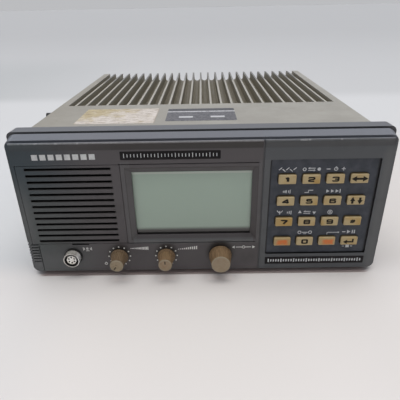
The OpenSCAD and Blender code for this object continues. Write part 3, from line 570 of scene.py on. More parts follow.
    def _knob_grime_and_shade(self, g: Surface, flecks: Value) -> Value:
        """Marks the grime and the painted shade of each knob's dark reflection on the face round it,
        centred a little above its axis.

        Args:
            g: The surface to work on.
            flecks: Fine noise that breaks the mask up.

        Returns:
            The mask.
        """
        inner, outer = self.knob_spot_soft
        marks: Operand = 0.0
        for knob, reach in self.knob_spots:
            away = g.away((KNOB_X[knob], KNOB_Z + self.knob_spot_up))
            marks = (1 - g.step(away, reach - inner, reach + outer)) + marks
        return marks * (1 - g.step(g.behind, *self.knob_spot_depth)) * (0.45 + 0.7 * flecks)


@dataclass(frozen=True)
class CastPaint(Finish):
    """Warm grey paint on a rough casting, with grime and painted shade between the fins, pale on the fin
    tips and darker on them towards the rear.
    """

    paint: Colour = (0.266, 0.254, 0.225)
    pale: Colour = (0.303, 0.291, 0.260)
    stain: Colour = (0.19, 0.165, 0.12)
    # Colour between the fins: grime and painted shade
    dirt_and_shade: Colour = (0.196, 0.172, 0.121)
    paler_sides: Colour = (0.250, 0.223, 0.164)
    floor_dirt_and_shade: Colour = (0.125, 0.107, 0.072)
    worn: Colour = (0.365, 0.346, 0.305)
    rear_tip_dark: Colour = (0.13, 0.128, 0.125)
    grubby: Span = (-60.0, -115.0)
    paler_sides_from: Span = (30.0, 110.0)
    rear_tip_from: Span = (205.0, 228.0)
    fins_from: float = 94.0
    fins_half: float = 118.1
    fin_depth: float = 10.0
    dirt_and_shade_below: Span = (2.4, 0.3)
    tip_below: Span = (0.3, 0.1)
    floor_dirt_and_shade_height: float = 2.5

    def coat(self, g: Surface) -> Material:
        """Adds the finish to an empty surface.

        Args:
            g: The surface to work on.

        Returns:
            The finished material.
        """
        cloud = g.noise(38.0, 4.0, 0.6)
        blotch = g.noise(9.0, 5.0, 0.65)
        finned = 1 - g.step(abs(g.x), self.fins_half, self.fins_half + 0.3)
        finned = finned * g.step(g.behind, self.fins_from - 0.2, self.fins_from + 0.1)
        deep = 1 - g.step(g.up, *(HOUSING_TOP - below for below in self.dirt_and_shade_below))
        floor = HOUSING_TOP - self.fin_depth
        bottom = 1 - g.step(g.up, floor, floor + self.floor_dirt_and_shade_height)
        tip = g.step(g.up, *(HOUSING_TOP - below for below in self.tip_below)) * finned
        rear = g.step(g.behind, *self.rear_tip_from)
        # the colour between the fins, paler towards both sides
        dirt_and_shade = g.layers(self.dirt_and_shade, (self.paler_sides, g.step(abs(g.x), *self.paler_sides_from) * 0.45))
        base = g.layers(
            self.paint,
            (self.pale, g.step(cloud, 0.4, 0.7)),
            (self.stain, g.step(blotch, 0.62, 0.8) * 0.45),
            (self.stain, g.step(g.x, *self.grubby) * 0.3),
            # grime and painted shade down between the fins
            (dirt_and_shade, finned * deep * (0.6 + 0.5 * blotch)),
            # grime and painted shade on the floors between the fins
            (self.floor_dirt_and_shade, finned * bottom * 0.8),
            (self.worn, tip * (1 - rear) * (0.35 + 0.6 * blotch)),
            # the fin tips darker towards the rear
            (self.rear_tip_dark, tip * rear * (0.5 + 0.6 * blotch)),
        )
        return g.finish(base, 0.5 + 0.22 * blotch, Normal=g.bump(g.noise(0.8, 3.0), 0.06, 0.7))


@dataclass(frozen=True)
class KeyPlastic(Finish):
    """Aged cream plastic, paler at each key's rim, with painted shade low on each key's side walls."""

    cream: Colour = (0.454, 0.354, 0.191)
    aged: Colour = (0.416, 0.266, 0.079)
    grime: Colour = (0.16, 0.11, 0.045)
    rubbed: Colour = (0.52, 0.425, 0.25)
    wall: Colour = (0.10, 0.072, 0.034)
    wall_from: Span = (-0.6, 0.3)
    rim_x: Span = (5.3, 6.5)
    rim_z: Span = (2.8, 3.75)
    yellowed: Span = (61.5, 42.5)
    bleached: Span = (78.7, 25.2)
    spot: Span = (5.0, 10.0)

    def coat(self, g: Surface) -> Material:
        """Adds the finish to an empty surface.

        Args:
            g: The surface to work on.

        Returns:
            The finished material.
        """
        across = (g.x - (PAD_AT[0] - PAD_PITCH[0] / 2)).wrapped(PAD_PITCH[0])
        along = (g.up - (PAD_AT[1] - PAD_PITCH[1] / 2)).wrapped(PAD_PITCH[1])
        rim = g.step(across, *self.rim_x).larger(g.step(along, *self.rim_z))
        cloud = g.noise(11.0, 3.0)
        fine = g.noise(1.4, 4.0, 0.65)
        yellowed = 1 - g.step(g.away(self.yellowed), *self.spot)
        bleached = 1 - g.step(g.away(self.bleached), *self.spot)
        base = g.layers(
            self.cream,
            (self.aged, g.step(cloud, 0.4, 0.72) + (0.7 * yellowed - 0.8 * bleached)),
            (self.rubbed, rim * fine),
            (self.grime, g.step(fine, 0.6, 0.8) * 0.3),
            # painted shade low on each key's side walls, next to the plate
            (self.wall, g.step(g.behind, *self.wall_from)),
        )
        return g.finish(base, 0.4 + 0.25 * fine, Normal=g.bump(fine, 0.04, 0.6))


@dataclass(frozen=True)
class PadFilm(Finish):
    """Blue-black film behind the keys, cloudy, with painted shade in the corner round its edge."""

    colour: Colour = (0.021, 0.0275, 0.0405)
    second: Colour = (0.046, 0.053, 0.068)
    # Colour of the painted shade round the film's edge
    grime: Colour = (0.004, 0.004, 0.005)
    left: float = 48.9
    right: float = 126.6
    low: float = 13.5
    left_shade: Span = (0.7, 1.7)
    right_shade: Span = (0.6, 2.4)
    low_shade: Span = (0.1, 1.3)

    def coat(self, g: Surface) -> Material:
        """Adds the finish to an empty surface.

        Args:
            g: The surface to work on.

        Returns:
            The finished material.
        """
        cloud = g.noise(9.0, 4.0, 0.6)
        unshaded = g.step(g.x, *(self.left + reach for reach in self.left_shade))
        unshaded = unshaded * g.step(g.x, *(self.right - reach for reach in self.right_shade))
        unshaded = unshaded * g.step(g.up, *(self.low + reach for reach in self.low_shade))
        base = g.layers(
            self.colour,
            (self.second, g.step(cloud, 0.35, 0.7)),
            # painted shade along the film's edge, in the corner with the recess's walls
            (self.grime, 0.85 * (1 - unshaded)),
        )
        return g.finish(base, 0.36 + 0.24 * cloud, Normal=g.bump(g.noise(0.4), 0.03))


@dataclass(frozen=True)
class KnobPlastic(Finish):
    """Tan plastic with a rubbed front, brown sides and fine ribs round the axis."""

    x: float
    ribs: int
    front_r: float
    front: Colour
    side: Colour = (0.240, 0.153, 0.079)
    grime: Colour = (0.11, 0.066, 0.030)
    rim: Colour = (0.27, 0.235, 0.17)
    patchy: float = 1.0
    grime_out: Span = (1.2, 4.5)
    front_back: Span = (0.5, 0.1)
    edge_back: Span = (1.0, 0.5)
    edge_in: Span = (1.1, 0.5)
    ribs_back: Span = (1.0, 0.6)

    def coat(self, g: Surface) -> Material:
        """Adds the finish to an empty surface.

        Args:
            g: The surface to work on.

        Returns:
            The finished material.
        """
        across = g.x - self.x
        up = g.up - KNOB_Z
        radius = across.hypot(up)
        out = g.behind * -1.0
        streak = g.noise(0.9, 4.0, 0.65, g.vector(across / radius * 5.0, up / radius * 5.0, g.y * 0.12))
        blotch = g.noise(2.2, 4.0, 0.6)
        facing = g.step(out, *(KNOB_OUT - back for back in self.front_back))
        edge = g.step(out, *(KNOB_OUT - back for back in self.edge_back))
        edge = edge * g.step(radius, *(self.front_r - inwards for inwards in self.edge_in))
        front = g.layers(self.front, (self.side, g.step(blotch, 0.45, 0.75) * self.patchy))
        base = g.layers(
            self.side,
            (self.grime, g.step(streak, 0.42, 0.72) * 0.85),
            (self.grime, (1 - g.step(out, *self.grime_out)) * 0.6),
            (front, facing),
            (self.rim, edge * 0.7),
        )
        rib = (up.angle(across) * float(self.ribs)).sine() * 0.5 + 0.5
        sides = 1 - g.step(out, *(KNOB_OUT - back for back in self.ribs_back))
        height = rib * sides + 0.15 * blotch
        return g.finish(base, 0.42 + 0.3 * blotch, Normal=g.bump(height, 0.3, 0.8))


@dataclass(frozen=True)
class DisplayFilm(Finish):
    """Grey-green display behind glass, darker towards the bottom, with painted shade along its lower and
    left edges and a painted highlight along its upper one.
    """

    film: Colour = (0.327, 0.422, 0.351)
    low: Colour = (0.296, 0.375, 0.316)
    black: Colour = (0.034, 0.032, 0.032)
    line: Colour = (0.47, 0.52, 0.47)
    span: Span = (33.0, 85.0)
    shade: Span = (33.6, 37.4)
    bright: Span = (80.9, 82.3)
    left: Span = (-50.2, -43.0)
    dots: float = 1.1

    def coat(self, g: Surface) -> Material:
        """Adds the finish to an empty surface.

        Args:
            g: The surface to work on.

        Returns:
            The finished material.
        """
        cloud = g.noise(30.0, 3.0)
        dots = g.step(g.x.wrapped(self.dots), 0.0, 0.2) * g.step(g.z.wrapped(self.dots), 0.0, 0.2)
        base = g.layers(
            self.low,
            (self.film, g.step(g.up, *self.span) * 0.8 + cloud * 0.3),
            (self.film, dots * 0.3),
            # painted shade along the left edge
            (self.low, 1 - g.step(g.x, *self.left)),
            # painted highlight along the upper edge
            (self.line, g.band(g.up, *self.bright, 0.15) * 0.75),
            # painted shade along the lower edge
            (self.black, 1 - g.step(g.up, *self.shade)),
        )
        return g.finish(base, 0.16 + 0.06 * cloud, Coat_Weight=0.6, Coat_Roughness=0.06)


@dataclass(frozen=True)
class Sticker(Finish):
    """Pale paper label, blank, yellowed towards one corner, with brown specks."""

    paper: Colour = (0.58, 0.535, 0.50)
    yellow: Colour = (0.40, 0.325, 0.16)
    brown: Colour = (0.19, 0.13, 0.07)
    corner: Span = (-100.0, 86.0)
    reach: Span = (18.0, 62.0)
    rim: Span = (-36.2, -35.0)
    dirty_front: Span = (38.0, 33.0)
    dirty_back: Span = (69.0, 75.0)
    dirty_right: Span = (-80.0, -60.0)

    def coat(self, g: Surface) -> Material:
        """Adds the finish to an empty surface.

        Args:
            g: The surface to work on.

        Returns:
            The finished material.
        """
        away = (g.x - self.corner[0]).hypot(g.behind - self.corner[1])
        stain = g.noise(11.0, 5.0, 0.7)
        scuff = g.noise(3.0, 5.0, 0.7)
        streak = g.noise(2.4, 4.0, 0.7, g.vector(g.x * 0.3, g.y, 0.0))
        aged = g.step(stain + 0.3 * (1 - g.step(away, *self.reach)), 0.52, 0.78)
        ends = g.step(g.behind, *self.dirty_front)
        ends = ends + g.step(g.behind, *self.dirty_back) * g.step(g.x, *self.dirty_right)
        base = g.layers(
            self.paper,
            (self.yellow, aged * 0.85),
            (self.brown, g.step(streak, 0.46, 0.62) * 0.55),
            (self.brown, g.step(scuff, 0.58, 0.7) * 0.75),
            (self.brown, g.step(g.x, *self.rim) * 0.6),
            (self.brown, ends * 0.12),
        )
        return g.finish(base, 0.55 + 0.2 * scuff, Normal=g.bump(scuff, 0.03))


@dataclass(frozen=True)
class DataPlate(Finish):
    """Dark anodised plate with a pale line and two blank fields."""

    dark: Colour = (0.024, 0.023, 0.027)
    grey: Colour = (0.100, 0.097, 0.107)
    pale: Colour = (0.50, 0.50, 0.52)
    head: Span = (68.0, 68.6)
    line: Span = (64.5, 67.5)
    rule: float = 3.6
    blank_y: Span = (46.5, 51.0)
    blanks: tuple[Span, ...] = ((-17.0, -6.0), (8.0, 19.0))

    def coat(self, g: Surface) -> Material:
        """Adds the finish to an empty surface.

        Args:
            g: The surface to work on.

        Returns:
            The finished material.
        """
        worn = g.noise(2.0, 4.0, 0.7)
        ruled = 1 - g.step(g.behind.wrapped(self.rule), 0.35, 0.7)
        row = g.band(g.behind, *self.blank_y, 0.25)
        base = g.layers(
            self.grey,
            (self.dark, g.step(g.behind, *self.head)),
            (self.dark, g.step(worn, 0.42, 0.62) * 0.7),
            (self.dark, ruled * 0.6),
            (self.pale, g.band(g.behind, *self.line, 0.3) * g.step(worn, 0.3, 0.55)),
            *((self.pale, row * g.band(g.x, *blank, 0.25) * 0.9) for blank in self.blanks),
        )
        return g.finish(base, 0.35 + 0.3 * worn, Normal=g.bump(worn, 0.02))


@dataclass(frozen=True)
class WornPrint(Finish):
    """Orange window print that has rubbed off towards its edges."""

    ink: Colour = (0.612, 0.152, 0.026)
    pale: Colour = (0.476, 0.180, 0.050)
    under: Colour = (0.400, 0.292, 0.133)
    middle: Span = (61.5, 24.8)
    apart: float = 34.95
    half: Span = (4.9, 2.5)

    def coat(self, g: Surface) -> Material:
        """Adds the finish to an empty surface.

        Args:
            g: The surface to work on.

        Returns:
            The finished material.
        """
        blotch = g.noise(1.7, 4.0, 0.65)
        across = (g.x - self.middle[0]).wrapped(self.apart) / self.half[0]
        along = abs(g.up - self.middle[1]) / self.half[1]
        worn = g.step(across.larger(along) + blotch * 0.6, 0.85, 1.4)
        base = g.layers(self.ink, (self.pale, g.step(blotch, 0.45, 0.7)), (self.under, worn))
        return g.finish(base, 0.3 + 0.25 * blotch, Normal=g.bump(blotch, 0.01))


@dataclass(frozen=True)
class SocketMetal(Finish):
    """Nickel barrel with a painted highlight on its right side, painted shade in its bore and grime with
    painted shade on its collar at the panel.
    """

    metal: Colour = (0.62, 0.60, 0.56)
    bright: Colour = (0.97, 0.97, 0.96)
    dull: Colour = (0.44, 0.41, 0.38)
    dark: Colour = (0.008, 0.008, 0.008)
    bright_from: Span = (3.2, 5.6)
    bore: Span = (5.4, 5.55)
    collar: Span = (-1.5, -1.2)

    def coat(self, g: Surface) -> Material:
        """Adds the finish to an empty surface.

        Args:
            g: The surface to work on.

        Returns:
            The finished material.
        """
        scuff = g.noise(2.2, 4.0, 0.65)
        bore = 1 - g.step(g.away(SOCKET_AT), *self.bore)
        shade = bore.larger(g.step(g.behind, *self.collar))
        base = g.layers(
            self.metal,
            (self.dull, g.step(scuff, 0.45, 0.7)),
            # painted highlight on the barrel's right side
            (self.bright, g.step(g.x - SOCKET_AT[0], *self.bright_from)),
            # painted shade in the bore and on the collar at the panel
            (self.dark, shade),
        )
        return g.finish(base, 0.22 + 0.2 * scuff, Metallic=0.4 * (1 - shade), Normal=g.bump(scuff, 0.02))


@dataclass(frozen=True)
class ContactInsert(Finish):
    """White insert of the microphone socket with a ring of contact holes, painted dark as their shade."""

    white: Colour = (0.95, 0.93, 0.89)
    yellowed: Colour = (0.86, 0.82, 0.74)
    dark: Colour = (0.010, 0.009, 0.008)
    ring: float = 2.3
    hole: Span = (0.7, 0.78)
    holes: int = 6

    def coat(self, g: Surface) -> Material:
        """Adds the finish to an empty surface.

        Args:
            g: The surface to work on.

        Returns:
            The finished material.
        """
        part = 2 * math.pi / self.holes
        angle = (g.up - SOCKET_AT[1]).angle(g.x - SOCKET_AT[0])
        around = (angle - part / 2).wrapped(part) * self.ring
        away = around.hypot(g.away(SOCKET_AT) - self.ring)
        cloud = g.noise(2.0, 3.0)
        base = g.layers(
            self.white,
            (self.yellowed, g.step(cloud, 0.4, 0.7)),
            # painted shade in the contact holes
            (self.dark, 1 - g.step(away, *self.hole)),
        )
        return g.finish(base, 0.35 + 0.15 * cloud, Normal=g.bump(cloud, 0.01))


class Finishes:
    """Makes each finish once and hands it out by its name."""

    def __init__(self, recipes: Iterable[Finish]) -> None:
        """Builds every recipe's material."""
        self.made: dict[str, Material] = {recipe.name: recipe.make() for recipe in recipes}

    def __getitem__(self, name: str) -> Material:
        """The material of that name."""
        return self.made[name]

    def dress(self, name: str, nodes: Sequence[str]) -> None:
        """Gives one finish to several CAD nodes.

        Args:
            name: The finish.
            nodes: The CAD nodes that get it.
        """
        for node in nodes:
            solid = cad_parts[node]
            if not solid.material_slots:
                solid.data.materials.append(self.made[name])
            for slot in solid.material_slots:
                slot.material = self.made[name]
        LOG.info("%s: finish on %d nodes", name, len(nodes))


class Bench:
    """Starts, shapes and joins meshes with Blender's own operators."""

    corner_faces: ClassVar[int] = 4
    rim_share: ClassVar[float] = 0.3
    level: ClassVar[float] = 1e-7

    @staticmethod
    def clear() -> None:
        """Leaves edit mode and deselects everything."""
        if bpy.context.object is not None and bpy.context.object.mode != "OBJECT":
            bpy.ops.object.mode_set(mode="OBJECT")
        bpy.ops.object.select_all(action="DESELECT")

    @classmethod
    def activate(cls, piece: Piece) -> None:
        """Selects one piece and makes it active.

        Args:
            piece: The piece to work on.
        """
        cls.clear()
        piece.select_set(True)
        bpy.context.view_layer.objects.active = piece

    @classmethod
    def settle(cls, piece: Piece) -> None:
        """Puts a piece's place into its mesh."""
        cls.activate(piece)
        bpy.ops.object.transform_apply(location=True, rotation=True, scale=True)

    @classmethod
    def stand(cls, piece: Piece, at: Vector) -> None:
        """Stands a flat piece up so that it faces the viewer, at a point in metres.

        Args:
            piece: The flat piece.
            at: Where it goes.
        """
        piece.rotation_euler = (math.radians(90), 0, 0)
        piece.location = at
        cls.settle(piece)

    @staticmethod
    def edit_faces() -> None:
        """Starts to edit the active mesh with all its faces selected."""
        bpy.context.tool_settings.mesh_select_mode = (False, False, True)
        bpy.ops.object.mode_set(mode="EDIT")
        bpy.ops.mesh.select_all(action="SELECT")

    @classmethod
    def bevel(
        cls, piece: Piece, test: Callable[[Vector, Vector], bool], width: float, segments: int
    ) -> None:
        """Bevels the edges that pass a test.

        Args:
            piece: The mesh to shape.
            test: Told the two ends of an edge, says whether to bevel it.
            width: Width in metres.
            segments: Number of faces across the bevel.
        """
        cls.activate(piece)
        mesh = piece.data
        for item in (*mesh.vertices, *mesh.edges, *mesh.polygons):
            item.select = False
        for edge in mesh.edges:
            ends = [mesh.vertices[i] for i in edge.vertices]
            if test(ends[0].co, ends[1].co):
                edge.select = True
                for end in ends:
                    end.select = True
        bpy.context.tool_settings.mesh_select_mode = (False, True, False)
        bpy.ops.object.mode_set(mode="EDIT")
        bpy.ops.mesh.bevel(offset=width, segments=segments, profile=0.5)
        bpy.ops.object.mode_set(mode="OBJECT")

    @classmethod
    def plate(cls, name: str, low: Vector, high: Vector, thin: int, corner: float) -> Piece:
        """Makes a thin plate with round corners and a softened rim.

        Args:
            name: Name of the piece.
            low: Lowest corner in metres.
            high: Highest corner in metres.
            thin: Index of the axis across the plate.
            corner: Radius of the corners in metres.

        Returns:
            The plate.
        """
        cls.clear()
        bpy.ops.mesh.primitive_cube_add(size=1, location=(low + high) / 2)
        piece = bpy.context.active_object
        piece.name = name
        piece.scale = high - low
        cls.settle(piece)
        cls.bevel(piece, lambda a, b: abs(a[thin] - b[thin]) > cls.level, corner, cls.corner_faces)
        rim = (high[thin] - low[thin]) * cls.rim_share
        cls.bevel(piece, lambda a, b: abs(a[thin] - b[thin]) < cls.level, rim, 1)
        return piece

    @classmethod
    def join(cls, name: str, pieces: Sequence[Piece]) -> Piece:
        """Joins pieces into the first one and names it.

        Args:
            name: Name of the joined piece.
            pieces: What to join.

        Returns:
            The joined piece.
        """
        cls.activate(pieces[0])
        for piece in pieces[1:]:
            piece.select_set(True)
        if len(pieces) > 1:
            bpy.ops.object.join()
        pieces[0].name = name
        return pieces[0]

    @staticmethod
    def hand_over(piece: Piece, material: Material, body: str, slot: str) -> None:
        """Gives a finished piece its material and body.

        Args:
            piece: The piece.
            material: Its finish.
            body: The CAD body that it rides on.
            slot: The record's slot that it belongs to; not used.
        """
        piece.data.materials.clear()
        piece.data.materials.append(material)
        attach(piece, body)
        LOG.info("%s: %d faces on %s", piece.name, len(piece.data.polygons), body)


class Shape(Enum):
    """Flat shapes that a sign is printed from."""

    BAR = "bar"
    DISC = "disc"
    RING = "ring"
    ARROW = "arrow"


@dataclass(frozen=True)
class Mark:
    """One printed shape, in millimetres from the sign's middle."""

    shape: Shape
    x: float
    z: float
    w: float
    h: float
    turn: float = 0.0

    def grown(self, by: float) -> "Mark":
        """The same mark at another size."""
        return replace(self, x=self.x * by, z=self.z * by, w=self.w * by, h=self.h * by)


def bar(x: float, z: float, w: float, h: float, turn: float = 0.0) -> Mark:
    """A straight stroke."""
    return Mark(Shape.BAR, x, z, w, h, turn)


def disc(x: float, z: float, size: float) -> Mark:
    """A filled dot."""
    return Mark(Shape.DISC, x, z, size, size)


def ring(x: float, z: float, size: float, line: float) -> Mark:
    """A circle with a line's width."""
    return Mark(Shape.RING, x, z, size, line)


def arrow(x: float, z: float, size: float, turn: float) -> Mark:
    """A triangle that points to the right before it is turned."""
    return Mark(Shape.ARROW, x, z, size, size, turn)


class Printer:
    """Prints signs as thin raised ink on a flat face that looks towards the viewer."""

    round_sides: ClassVar[int] = 24

    @classmethod
    def print(cls, name: str, marks: Sequence[Placed], out: float) -> Piece:
        """Builds one piece from many marks.

        Args:
            name: Name of the piece.
            marks: Each mark with the middle of its sign on the face, in millimetres.
            out: Millimetres in front of the face.

        Returns:
            The printed piece.
        """
        flats = [cls._flat(mark, mark.x + x, mark.z + z) for mark, x, z in marks]
        piece = Bench.join(name, flats)
        Bench.edit_faces()
        bpy.ops.mesh.extrude_region_move(TRANSFORM_OT_translate={"value": (0, 0, INK / 1000)})
        bpy.ops.mesh.select_all(action="SELECT")
        bpy.ops.mesh.normals_make_consistent(inside=False)
        bpy.ops.object.mode_set(mode="OBJECT")
        Bench.stand(piece, on_face(0, 0, out))
        return piece

    @classmethod
    def _flat(cls, mark: Mark, x: float, z: float) -> Piece:
        """Makes one mark as a flat mesh, its place already in the mesh.

        Args:
            mark: The mark to make.
            x: Millimetres of its middle to the right.
            z: Millimetres of its middle upwards.

        Returns:
            The flat mesh.
        """
        Bench.clear()
        arrowed = mark.shape is Shape.ARROW
        where = {
            "location": (x / 1000, z / 1000, 0),
            "rotation": (0, 0, math.radians(mark.turn - (90 if arrowed else 0))),
        }
        if mark.shape is Shape.BAR:
            bpy.ops.mesh.primitive_plane_add(size=1, **where)
        else:
            sides = 3 if arrowed else cls.round_sides
            bpy.ops.mesh.primitive_circle_add(vertices=sides, radius=0.5, fill_type="NGON", **where)
        piece = bpy.context.active_object
        height = mark.w if mark.shape is Shape.RING else mark.h
        piece.scale = (mark.w / 1000, height / 1000, 1)
        Bench.settle(piece)
        if mark.shape is Shape.RING:
            Bench.edit_faces()
            bpy.ops.mesh.inset(thickness=mark.h / 1000)
            bpy.ops.mesh.delete(type="FACE")
            bpy.ops.object.mode_set(mode="OBJECT")
        return piece


@dataclass(frozen=True)
class Stroke:
    """One pen line of a numeral, with points from -1 to 1 across and up."""

    points: tuple[Span, ...]
    closed: bool = False
    curve_parts: ClassVar[int] = 4

    def rounded(self, size: Span, corner: float) -> list[Vector]:
        """Scales the line and rounds its corners.

        Args:
            size: Half the width and half the height.
            corner: Length of line that each side of a corner gives to its curve.

        Returns:
            The points along the line.
        """
        bare = [Vector((x * size[0], z * size[1])) for x, z in self.points]
        found = []
        for i, point in enumerate(bare):
            if not self.closed and i in (0, len(bare) - 1):
                found.append(point)
                continue
            before, after = bare[i - 1] - point, bare[(i + 1) % len(bare)] - point
            start = point + before * min(0.5, corner / before.length)
            end = point + after * min(0.5, corner / after.length)
            for part in range(self.curve_parts + 1):
                t = part / self.curve_parts
                found.append(start.lerp(point, t).lerp(point.lerp(end, t), t))
        return found


# Pen lines of the key numerals
LOOP = Stroke(((-1, -1), (1, -1), (1, 1), (-1, 1)), True)
SIX = ((0.95, 0.55), (0.95, 1), (-1, 1), (-1, -1), (1, -1), (1, 0.08), (-1, 0.08))
NUMERALS: Mapping[str, tuple[Stroke, ...]] = {
    "0": (LOOP,),
    "1": (Stroke(((-0.7, 0.5), (0.15, 1), (0.15, -1))),),
    "2": (Stroke(((-1, 0.5), (-1, 1), (1, 1), (1, 0.1), (-1, -0.25), (-1, -1), (1.05, -1))),),
    "3": (
        Stroke(((-1, 0.55), (-1, 1), (1, 1), (1, -1), (-1, -1), (-1, -0.55))),
        Stroke(((-0.35, 0), (0.9, 0))),
    ),
    "4": (Stroke(((0.6, -1.05), (0.6, 1.1), (-1.25, -0.45), (1.2, -0.45))),),
    "5": (Stroke(((1, 1), (-0.9, 1), (-0.9, 0.15), (1, 0.15), (1, -1), (-1, -1), (-1, -0.55))),),
    "6": (Stroke(SIX),),
    "7": (Stroke(((-1, 0.75), (-1, 1), (1, 1), (1, 0.7), (-0.2, -1))),),
    "8": (LOOP, Stroke(((-0.9, 0.02), (0.9, 0.02)))),
    "9": (Stroke(tuple((-x, -z) for x, z in SIX)),),
    "hash": (
        Stroke(((-0.6, -1), (-0.1, 1))),
        Stroke(((0.1, -1), (0.6, 1))),
        Stroke(((-0.95, 0.36), (1, 0.36))),
        Stroke(((-1, -0.36), (0.95, -0.36))),
    ),
}


@dataclass(frozen=True)
class Pen:
    """Draws bold, wide numerals as low round beads of ink."""

    half: Span = (1.5, 1.44)
    line: float = 1.12
    corner: float = 0.5
    stretch: float = 1.25

    def draw(self, name: str, numeral: str, x: float, z: float, out: float) -> Piece:
        """Draws one numeral.

        Args:
            name: Name of the piece.
            numeral: Which numeral.
            x: Millimetres to the right of the middle.
            z: Millimetres above the face's lower edge.
            out: Millimetres in front of the face.

        Returns:
            The drawn piece.
        """
        Bench.clear()
        curve = bpy.data.curves.new(name, "CURVE")
        curve.dimensions = "3D"
        curve.twist_mode = "Z_UP"
        curve.bevel_depth = self.line / 2
        curve.bevel_resolution = 2
        curve.use_fill_caps = True
        for stroke in NUMERALS[numeral]:
            points = stroke.rounded(self.half, self.corner)
            spline = curve.splines.new("POLY")
            spline.points.add(len(points) - 1)
            for knot, point in zip(spline.points, points):
                knot.co = (point.x, point.y, 0, 1)
            spline.use_cyclic_u = stroke.closed
        piece = bpy.data.objects.new(name, curve)
        bpy.context.scene.collection.objects.link(piece)
        Bench.activate(piece)
        bpy.ops.object.convert(target="MESH")
        piece = bpy.context.active_object
        piece.scale = (self.stretch / 1000, 0.001, INK / (self.line / 2) / 1000)
        Bench.stand(piece, on_face(x, z, out))
        return piece


# Line widths of the numerals that are drawn bolder or finer than the rest, in millimetres
PEN_LINES: Mapping[str, float] = {"0": 1.22, "1": 1.55, "4": 1.2, "7": 1.35, "hash": 0.85}


# Signs above the keys by row and column, in millimetres from the middle of each sign
SWAP = (
    arrow(-1.6, 0.7, 1.7, 180),
    bar(0.6, 0.7, 3.4, 0.5),
    arrow(1.6, -0.7, 1.7, 0),
    bar(-0.6, -0.7, 3.4, 0.5),
)
KEY_SIGNS: Mapping[tuple[int, int], Sequence[Mark]] = {
    (0, 0): [bar(-4.6 + 2.3 * i, 0.55 * (-1) ** i, 2.4, 0.55, 40 * (-1) ** i) for i in range(5)],
    (0, 1): [ring(-4.6, 0, 2.4, 0.5), *SWAP, disc(4.6, 0, 2.2)],
    (0, 2): [
        *(bar(side * 4.8, 0, 2.4, 0.55) for side in (-1, 1)),
        bar(4.8, 0, 0.55, 2.4),
        ring(0, 0, 2.6, 0.5),
        bar(0, 0.9, 0.5, 1.6),
    ],
    (1, 0): [
        bar(-1.3, 0, 1.3, 1.3),
        arrow(-0.2, 0, 3.0, 180),
        *(bar(1.7 + i, 0, 0.5, 1.7 + i) for i in range(2)),
    ],
    (1, 1): [bar(-1.9, -0.8, 2.3, 0.55), bar(-0.6, 0, 0.55, 2.1), bar(0.9, 0.8, 3.0, 0.55)],
    (1, 2): [*(arrow(-3.6 + 3.0 * i, 0, 2.7, 0) for i in range(3)), bar(4.6, 0, 0.55, 2.7)],
    (2, 0): [
        bar(-2.9, -0.1, 0.6, 2.6),
        *(bar(-2.9 + side * 1.2, 0.7, 2.2, 0.55, side * 50) for side in (-1, 1)),
        *(bar(2.2 + 1.2 * i, 0, 0.55, 1.4 + 0.7 * i) for i in range(3)),
    ],
    (2, 1): [arrow(-4.8, 0.2, 2.8, 90), *SWAP, arrow(4.8, -0.2, 2.8, -90)],
    (2, 2): [ring(0, 0, 3.4, 0.5), disc(0, 0, 1.5), bar(0, 0, 0.5, 3.2)],
    (3, 1): [
        ring(-3.6, 0, 2.6, 0.5),
        bar(0, 0, 4.0, 0.55),
        ring(3.6, 0, 2.6, 0.5),
        bar(0, -1.1, 2.2, 0.5),
    ],
    (3, 3): [
        bar(-3.9, 0, 2.2, 0.6),
        arrow(-0.9, 0, 3.2, 0),
        *(bar(1.9 + 1.4 * i, 0, 0.7, 2.7) for i in range(2)),
    ],
}
# Lead over the lower right keys and stop sign under the last one, from the middle of their keys
LEAD = (bar(0, 5.6, 0.5, 1.9), bar(4.1, 6.5, 8.2, 0.5), arrow(8.6, 6.5, 1.7, 0))
STOP = (bar(0, -6.1, 2.7, 2.4), *(bar(side * 3.2, -6.1, 1.6, 0.6) for side in (-1, 1)))
# Signs on the keys without a numeral
CAP_SIGNS: Mapping[str, Sequence[Mark]] = {
    "function_1": [arrow(-3.5, 0, 5.0, 180), bar(0, 0, 4.8, 1.6), arrow(3.5, 0, 5.0, 0)],
    "function_2": [
        arrow(-2.7, 0.8, 4.5, 90),
        bar(-2.7, -1.3, 1.7, 2.3),
        arrow(2.7, -0.8, 4.5, -90),
        bar(2.7, 1.3, 1.7, 2.3),
    ],
    "enter": [bar(0.75, -0.7, 5.1, 1.3), bar(2.65, 0.95, 1.3, 2.0), arrow(-2.7, -0.7, 4.2, 180)],
}
# Names of the keys, row by row
KEY_ROWS = (
    ("1", "2", "3", "function_1"),
    ("4", "5", "6", "function_2"),
    ("7", "8", "9", "hash"),
    ("orange_left", "0", "orange_right", "enter"),
)


class SubAssembly:
    """A part of the radio: the finishes of its CAD nodes, and its own printed or laid-on pieces."""

    body: ClassVar[str] = "radio"
    looks: ClassVar[Looks] = {}

    def dress(self, finishes: Finishes) -> None:
        """Gives the nodes their finishes."""
        for finish, nodes in self.looks.items():
            finishes.dress(finish, nodes)

    def build(self, finishes: Finishes) -> None:
        """Makes the pieces that the CAD model lacks, if there are any."""


